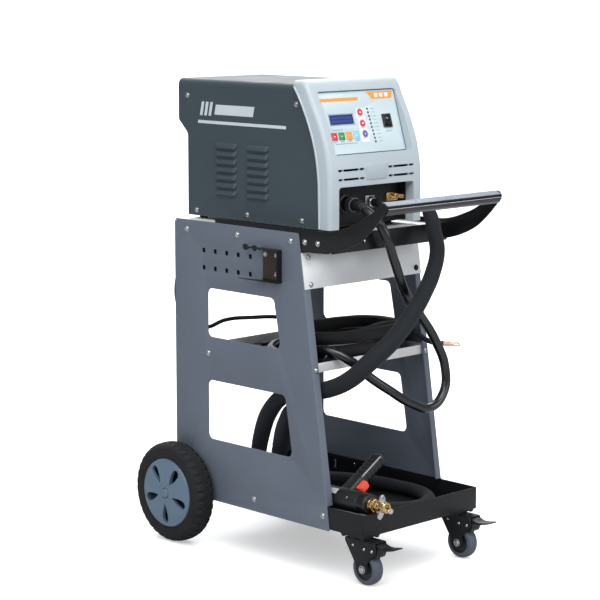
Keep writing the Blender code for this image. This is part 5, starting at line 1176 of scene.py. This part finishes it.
def along(points, scale, radius):
    """Radius as a function of the distance along a path, from each point's share."""
    stops, d = [(0.0, scale[0])], 0.0
    for a_, b_, k in zip(points, points[1:], scale[1:]):
        d += (V(b_) - V(a_)).length * 1.02
        stops.append((d, k))

    def f(x):
        for (d0, k0), (d1, k1) in zip(stops, stops[1:]):
            if x <= d1:
                t = max(0.0, min(1.0, (x - d0) / (d1 - d0)))
                return radius * (k0 + (k1 - k0) * t * t * (3 - 2 * t))
        return radius * stops[-1][1]
    return f


obj("weld_cable_jacket", sweep(WELD, 0.0090, 28, 0.005), M["cable"], rep=("weld_cable",), smooth=60)


def hose_oval(d, a):
    """A soft sleeve: slow swell along its length, and shallow gathers."""
    return 1.0 + 0.022 * math.sin(d * 34.0 + 1.3 * math.sin(d * 9.0)) + 0.018 * math.sin(2 * a + d * 11.0) \
        + 0.012 * math.sin(d * 118.0 + 2.0 * math.sin(a)) * (0.5 + 0.5 * math.sin(d * 7.0))


obj("hose_sleeve_braid", sweep(HOSE, along(HOSE, [p[3] for p in HOSE_P], 0.0166), 40, 0.0035, oval=hose_oval), M["sleeve"], rep=("hose_sleeve",),
    smooth=60)
obj("power_cord_jacket", sweep(CORD, 0.0040, 16, 0.005), M["cable_matt"], rep=("power_cord",), smooth=60)
obj("ground_cable_jacket", sweep(GROUND, along(GROUND, [p[3] for p in GROUND_P], 0.0123), 32, 0.0035, oval=hose_oval), M["sleeve_dark"], rep=("ground_cable",), smooth=60)
# strain reliefs and sleeve ends
boots = [sweep(WELD[:2] + [tuple(V(WELD[1]).lerp(V(WELD[2]), 0.5))], lambda d: 0.0128 - 0.0022 * min(1, d / 0.03) + 0.0006 * math.sin(d * 900), 28, 0.0015)]
boots.append(sweep(HOSE[:2], lambda d: 0.0078 - 0.0006 * (int(d / 0.0022) % 2), 32, 0.0011))
obj("cable_boots", merge(*boots), M["black_plastic"], smooth=50)
gl_ = [(0, 0.2500), (0.0085, 0.2562), (0.0100, 0.2568), (0.0100, 0.2600), (0.0086, 0.2608), (0.0086, 0.2680), (0.0070, 0.2720), (0, 0.2725)]
ring = lathe([(0.0100, 0), (0.0134, 0), (0.0140, 0.0008), (0.0140, 0.0026), (0.0134, 0.0034), (0.0100, 0.0034)], 'z', (0, 0, 0), 48, True)
obj("weld_plug_ring", facing(ring, V(WELD[0]).lerp(V(WELD[1]), 0.22), V(WELD[1]) - V(WELD[0])), M["plug_ring"], smooth=40)
obj("cord_gland", lathe([(r, a) for r, a in gl_], 'y', (0.070, 0, 0.690), 24), M["black_plastic"])

# lug on the earth cable's end, with a crimped barrel and a flat palm
lug_at, lug_dir = V(GROUND[-1]), (V(GROUND[-1]) - V(GROUND[-2])).normalized()
barrel = facing(lathe([(0, -0.004), (0.0054, -0.004), (0.0056, -0.002), (0.0050, 0.004), (0.0054, 0.008), (0.0050, 0.012), (0.0036, 0.014), (0, 0.014)],
                      'z', (0, 0, 0), 28), lug_at, lug_dir)
palm = facing(plate([rounded(rect(-0.0065, 0.0065, 0.011, 0.034), 0.005, 6), circle(0, 0.0262, 0.0033, 24)], 'y', -0.0012, 0.0012, 0.0004),
              lug_at, lug_dir, 0.5)
obj("ground_cable_lug", merge(barrel, palm), M["lug"], smooth=35)

# small bright clip that ties the coil, at its left end
clip = sweep([(-0.108, -0.112, 0.4000), (-0.104, -0.1165, 0.4120), (-0.096, -0.118, 0.4205), (-0.086, -0.1165, 0.4230)], 0.0017, 14, 0.002)
obj("shelf_coil_clip", clip, M["steel"], smooth=60)

# ============================================================================ gun
G0, G1 = V((-0.1160, -0.088, 0.1430)), V((-0.1250, -0.252, 0.1510))
gd = (G1 - G0).normalized()
gs = V((1, 0, 0)) - gd * gd.x
gs.normalize()
gu = gs.cross(gd)
gu = -gu if gu.z < 0 else gu
GL = (G1 - G0).length
GM = Matrix(((gs.x, gd.x, gu.x, G0.x), (gs.y, gd.y, gu.y, G0.y), (gs.z, gd.z, gu.z, G0.z), (0, 0, 0, 1)))
gz = V((math.cos(math.radians(33)), 0.0, math.sin(math.radians(33))))
gxx = (V((0, 1, 0)) - gz * gz.y).normalized()
gyy = gz.cross(gxx)
HM = GM @ Matrix(((gxx.x, gyy.x, gz.x, 0), (gxx.y, gyy.y, gz.y, 0.088), (gxx.z, gyy.z, gz.z, 0), (0, 0, 0, 1)))
prof = [(0, 0.0), (0.0150, 0.0), (0.0180, 0.0016), (0.0200, 0.0045), (0.0207, 0.0085), (0.0210, 0.0150), (0.0210, 0.0230),
        (0.0202, 0.0236), (0.0202, 0.0250), (0.0210, 0.0256), (0.0210, GL - 0.0230), (0.0204, GL - 0.0205), (0.0196, GL - 0.0185), (0.0196, GL - 0.0010),
        (0.0190, GL + 0.0010), (0.0180, GL + 0.0020), (0.0, GL + 0.0020)]
barrel = lathe(prof, 'y', (0, 0, 0), 56)
grip_secs = []
for k in range(45):
    t = k / 44
    z = 0.004 + 0.112 * t
    sx = 0.0160 - 0.0012 * math.sin(t * math.pi) + (0.0008 if t > 0.93 else 0.0)
    sy = 0.0120 - 0.0006 * math.sin(t * math.pi)
    if 0.46 < t < 0.93 and (k // 2) % 2:
        sx -= 0.0012
        sy -= 0.0010
    if k == 44:
        sx -= 0.0022
        sy -= 0.0022
    grip_secs.append([V((x, y, z)) for x, y in rounded(rect(-sx, sx, -sy, sy), 0.0072, 5)])
hand = loft(grip_secs)
slot_c = prism(rect(0.0110, 0.0360, -0.0062, 0.0062), 'z', 0.0265, 0.0495)
hand = cut(hand, 'DIFFERENCE', slot_c)
# light bar along the gun grip's edge: painted highlight
grip_highlight_bar = sweep([HM @ V(p) for p in ((0.0150, 0.0112, 0.0520), (0.0152, 0.0112, 0.0700), (0.0150, 0.0110, 0.0900), (0.0150, 0.0108, 0.1090))],
                 0.0016, 12, 0.002)
obj("gun_grip_painted_highlight", grip_highlight_bar, M["grip_light"], smooth=40)
obj("gun_body_moulding", moved(barrel, GM), M["black_plastic"], rep=("gun_body",), smooth=35)
obj("gun_grip_moulding", moved(hand, HM), M["black_plastic"], smooth=30)
trig = prism(rounded([(0.0155, 0.0272), (0.0270, 0.0272), (0.0300, 0.0310), (0.0305, 0.0420), (0.0280, 0.0488), (0.0155, 0.0488)],
                     [0.0004, 0.0015, 0.003, 0.004, 0.0015, 0.0004], 4), 'y', -0.0058, 0.0058)
obj("gun_trigger_moulding", moved(bevelled(trig, 0.0008, 3, 50), HM), M["trigger"], "trigger", ("gun_trigger",))
# shiny collar, a pale band on the barrel's upper side that is painted highlight, and a cable boot at the rear
obj("gun_collar", moved(lathe([(0.0196, GL - 0.0176), (0.0202, GL - 0.0172), (0.0204, GL - 0.0150), (0.0204, GL - 0.0050), (0.0202, GL - 0.0030), (0.0196, GL - 0.0026)],
                              'y', (0, 0, 0), 56, True), GM), M["gloss_black"])
# pale band over the barrel's top: painted highlight
lab = []
for k in range(13):
    a = math.radians(108 + 34 * k / 12)
    lab.append([V((r * math.cos(a), y, r * math.sin(a))) for r, y in ((0.02105, 0.045), (0.02125, 0.045), (0.02125, 0.088), (0.02105, 0.088))])
obj("gun_label", moved(loft(lab), GM), M["label"])
obj("gun_cable_boot", moved(lathe([(0, 0.002), (0.0150, 0.002), (0.0150, -0.004), (0.0142, -0.0046), (0.0148, -0.0080), (0.0138, -0.0086), (0.0143, -0.0120), (0.0132, -0.0128), (0, -0.0128)],
                                  'y', (0, 0, 0), 40), GM), M["rubber"])
t0 = GL + 0.0023
hold = [(0, t0), (0.0121, t0), (0.0125, t0 + 0.0005), (0.0125, t0 + 0.0035), (0.0119, t0 + 0.0040), (0.0119, t0 + 0.0060), (0.0125, t0 + 0.0065),
        (0.0125, t0 + 0.0112), (0.0120, t0 + 0.0120), (0.0096, t0 + 0.0128), (0.0095, t0 + 0.0255), (0.0085, t0 + 0.0262), (0.0085, t0 + 0.0278),
        (0.0103, t0 + 0.0290), (0.0106, t0 + 0.0296), (0.0106, t0 + 0.0410), (0.0102, t0 + 0.0420), (0.0094, t0 + 0.0428), (0.0064, t0 + 0.0430),
        (0.0060, t0 + 0.0425), (0.0060, t0 + 0.0340), (0, t0 + 0.0340)]
obj("gun_electrode_brass", moved(lathe(hold, 'y', (0, 0, 0), 56), GM), M["brass"], rep=("gun_electrode_holder",), smooth=35)
hexn = lathe([(0.0096, t0 + 0.0165), (0.0128, t0 + 0.0165), (0.0132, t0 + 0.0172), (0.0132, t0 + 0.0228), (0.0128, t0 + 0.0235), (0.0096, t0 + 0.0235)], 'y', (0, 0, 0), 6, True)
obj("gun_clamp_nut", moved(hexn, GM), M["brass"], smooth=20)
lobes = []
for a0 in (-126, -31, 100):
    for d in (-34, -26, -18, -9, 0, 9, 18, 26, 34):
        r = 0.0108 + 0.0140 * math.exp(-(d / 21.0) ** 4)
        a = math.radians(a0 + d)
        lobes.append((r * math.cos(a), r * math.sin(a)))
star = prism(lobes, 'y', t0 + 0.0322, t0 + 0.0362)
obj("gun_star_knob", moved(bevelled(star, 0.0007, 2), GM), M["steel"], smooth=30)
screws("gun_body_screws", [(GM @ V((0.0208 * math.cos(a), y, 0.0208 * math.sin(a))), GM.to_3x3() @ V((math.cos(a), 0, math.sin(a))))
                           for a in (math.radians(150),) for y in (0.035, 0.120)], M["zinc"], r=0.0022, h=0.0012, washer=False)

# ============================================================== remaining pieces
for nm, fx, fy in (("rear_left", -1, 0.230), ("rear_right", 1, 0.230), ("front_left", -1, -0.075), ("front_right", 1, -0.075)):
    obj("machine_foot_%s_rubber" % nm, lathe([(0, 0.6433), (0.0068, 0.6433), (0.0074, 0.6438), (0.0088, 0.6490), (0.0090, 0.6497), (0, 0.6497)],
                                             'z', (fx * 0.104, fy, 0), 28), M["rubber"], rep=("machine_foot_" + nm,))
# transformer: laminated core stays, the winding gets its own wound form
wind = []
for k in range(25):
    z = 0.6785 + 0.057 * k / 24
    o = 0.0006 if k % 2 else 0.0
    wind.append([V((x, 0.1025 + y, z)) for x, y in rounded(rect(-0.064 + o, 0.064 - o, -0.0385 + o, 0.0385 - o), 0.012, 5)])
wi = loft(wind)
wi = cut(wi, 'DIFFERENCE', prism(rect(-0.0406, 0.0406, 0.0894, 0.1156), 'z', 0.66, 0.75))
obj("transformer_coil_winding", wi, M["winding"], rep=("transformer_coil",), smooth=25)
# parts on the board
chips = [block((-0.07 + 0.022 * i, 0.02 + 0.03 * j, -0.0234), (-0.058 + 0.022 * i, 0.034 + 0.03 * j, -0.0205), 0.0004) for i in range(4) for j in range(3)]
obj("control_board_chips", on_cp(merge(*chips)), M["black_plastic"])

# fasteners
screws("panel_screws_left", [((-0.160, y, z), (-1, 0, 0)) for y, z in
                             ((0.217, 0.627), (0.071, 0.628), (-0.076, 0.629), (0.156, 0.387), (0.026, 0.116), (-0.163, 0.119))])
screws("panel_screws_right", [((0.160, y, z), (1, 0, 0)) for y, z in
                              ((0.217, 0.627), (0.071, 0.628), (-0.076, 0.629), (0.156, 0.387), (-0.163, 0.119))])
ea = math.atan(0.083 / (PANEL_Z1 - PANEL_Z0))
lean = V((0, -math.cos(ea), math.sin(ea)))
screws("flange_screws", [((s * 0.1505, panel_front(z) - 0.0001, z), lean) for s in (-1, 1) for z in (0.3905,)], r=0.0044)
screws("handle_screws_left", [((-ARM_X - (0.0 if z > 0.6455 else 0.0), y, z), (-1, 0, 0)) for y, z in
                              ((-0.112, 0.6300), (-0.146, 0.6300))], r=0.0044)
screws("handle_screws_right", [((ARM_X, y, z), (1, 0, 0)) for y, z in ((-0.112, 0.6300), (-0.146, 0.6300))], r=0.0044)
fo = lambda z: panel_front(z) - 0.0003 - 0.0015
screws("fascia_screws", [((x, fo(z), z), lean) for x, z in ((-0.143, 0.6005), (-0.143, 0.549))], r=0.0042)
screws("fascia_screw_right", [((0.146, fo(0.553), 0.553), lean)], M["dark_screw"], r=0.0046)
screws("bracket_screws", [((bx - 0.0015, y, z), (-1, 0, 0)) for y, z in ((-0.010, 0.599), (-0.040, 0.599), (-0.040, 0.562))], r=0.0040)
screws("crossbar_screw", [((x, -0.1825, 0.631), (0, -1, 0)) for x in (-0.072,)], M["zinc"], r=0.0030, washer=False)
screws("rear_panel_screws", [((x, 0.2560, z), (0, 1, 0)) for x, z in ((-0.110, 0.662), (0.110, 0.662), (-0.110, 0.895), (0.110, 0.895))],
       M["zinc"], r=0.0036)
wire = [lathe([(r - 0.0009, 0.2572), (r, 0.2563), (r + 0.0009, 0.2572), (r, 0.2581)], 'y', (0, 0, 0.785), 64, True) for r in (0.012, 0.023, 0.034, 0.045)]
obj("fan_finger_guard", merge(*wire), M["zinc"], smooth=60)

# ============================================== finishes of the CAD solids that stay
KEEP = {"base_pan": "black_coat", "connector_plate": "dark_inside", "control_board": "board", "transformer_core": "laminations",
        "rear_panel": "cover", "fan_rotor": "black_plastic"}
for n, m in KEEP.items():
    ob = CAD[n]
    ob.data.materials.clear()
    ob.data.materials.append(M[m])
    md = ob.modifiers.new("edge", 'BEVEL')
    md.width = 0.0003
    md.segments = 2
    md.limit_method = 'ANGLE'
    md.angle_limit = math.radians(50)

# ================================================================ stage and camera
def stage_material():
    """Pale studio floor: near white to the camera, a quieter bounce on the object."""
    m = Mat("studio_floor")
    lp = m.node("ShaderNodeLightPath")
    tone = m.mix(m.remap(m.noise(0.8, 2.0), 0.3, 0.7, 0.0, 1.0), (0.86, 0.865, 0.87), (0.88, 0.885, 0.89))
    m.link(m.mix(lp.outputs["Is Camera Ray"], (0.42, 0.43, 0.45), tone), m.b.inputs["Base Color"])
    m.b.inputs["Roughness"].default_value = 0.65
    m.b.inputs["Emission Color"].default_value = (1, 1, 1, 1)
    m.link(m.remap(lp.outputs["Is Camera Ray"], 0.0, 1.0, 0.10, 0.42), m.b.inputs["Emission Strength"])
    return m.m


bm = new_bm()
prof = [(-9.0, 0.0), (4.5, 0.0)] + [(4.5 + 2.5 * math.sin(a), 2.5 - 2.5 * math.cos(a)) for a in [math.pi / 2 * k / 16 for k in range(1, 17)]] + [(7.0, 9.0)]
vl = [bm.verts.new((-14.0, y, z)) for y, z in prof]
vr = [bm.verts.new((14.0, y, z)) for y, z in prof]
for k in range(len(prof) - 1):
    bm.faces.new((vl[k], vr[k], vr[k + 1], vl[k + 1]))
me = bpy.data.meshes.new("studio_floor")
bm.to_mesh(me)
bm.free()
me.shade_smooth()
me.materials.append(stage_material())
floor = bpy.data.objects.new("studio_floor", me)
floor.rotation_euler = (0, 0, math.radians(-44))
scene.collection.objects.link(floor)

w = bpy.data.worlds.new("studio")
w.use_nodes = True
w.node_tree.nodes["Background"].inputs["Color"].default_value = (0.93, 0.95, 1.0, 1.0)
w.node_tree.nodes["Background"].inputs["Strength"].default_value = 0.34
wl = w.node_tree.nodes.new("ShaderNodeLightPath")
wr = w.node_tree.nodes.new("ShaderNodeMapRange")
wr.inputs["To Min"].default_value, wr.inputs["To Max"].default_value = 0.34, 1.0
w.node_tree.links.new(wl.outputs["Is Camera Ray"], wr.inputs["Value"])
w.node_tree.links.new(wr.outputs["Result"], w.node_tree.nodes["Background"].inputs["Strength"])
scene.world = w


def area(name, loc, target, size, power, colour=(1, 1, 1)):
    d = bpy.data.lights.new(name, 'AREA')
    d.shape = 'RECTANGLE'
    d.size, d.size_y = size
    d.energy = power
    d.color = colour
    o = bpy.data.objects.new(name, d)
    o.location = loc
    o.rotation_euler = (V(target) - V(loc)).to_track_quat('-Z', 'Y').to_euler()
    scene.collection.objects.link(o)
    return o


area("key_top", (-1.2, -1.6, 3.2), (0, 0, 0.5), (2.6, 2.6), 102, (1.0, 0.99, 0.97))
area("fill_left", (-3.4, -0.4, 2.0), (0, 0, 0.6), (2.2, 2.4), 34, (0.95, 0.98, 1.0))
area("front_soft", (1.2, -3.4, 1.8), (0, 0, 0.55), (2.4, 2.2), 40)
area("rim_back", (2.4, 2.4, 2.6), (0, 0, 0.6), (1.8, 1.8), 34)
area("floor_wash", (2.5, 3.0, 4.5), (3.0, 4.0, 0.0), (5.0, 5.0), 260)

cam = bpy.data.cameras.new("camera")
cam.sensor_width = 36.0
cam.lens = 2030.14 / 600 * 36
co = bpy.data.objects.new("camera", cam)
e, a = 0.1562, math.radians(-44.15)
fwd = V((-math.sin(a) * math.cos(e), math.cos(a) * math.cos(e), -math.sin(e)))
co.location = (-2.7599, -2.7797, 1.1087)
co.rotation_euler = fwd.to_track_quat('-Z', 'Y').to_euler()
scene.collection.objects.link(co)
scene.camera = co
scene.view_settings.view_transform = 'Standard'
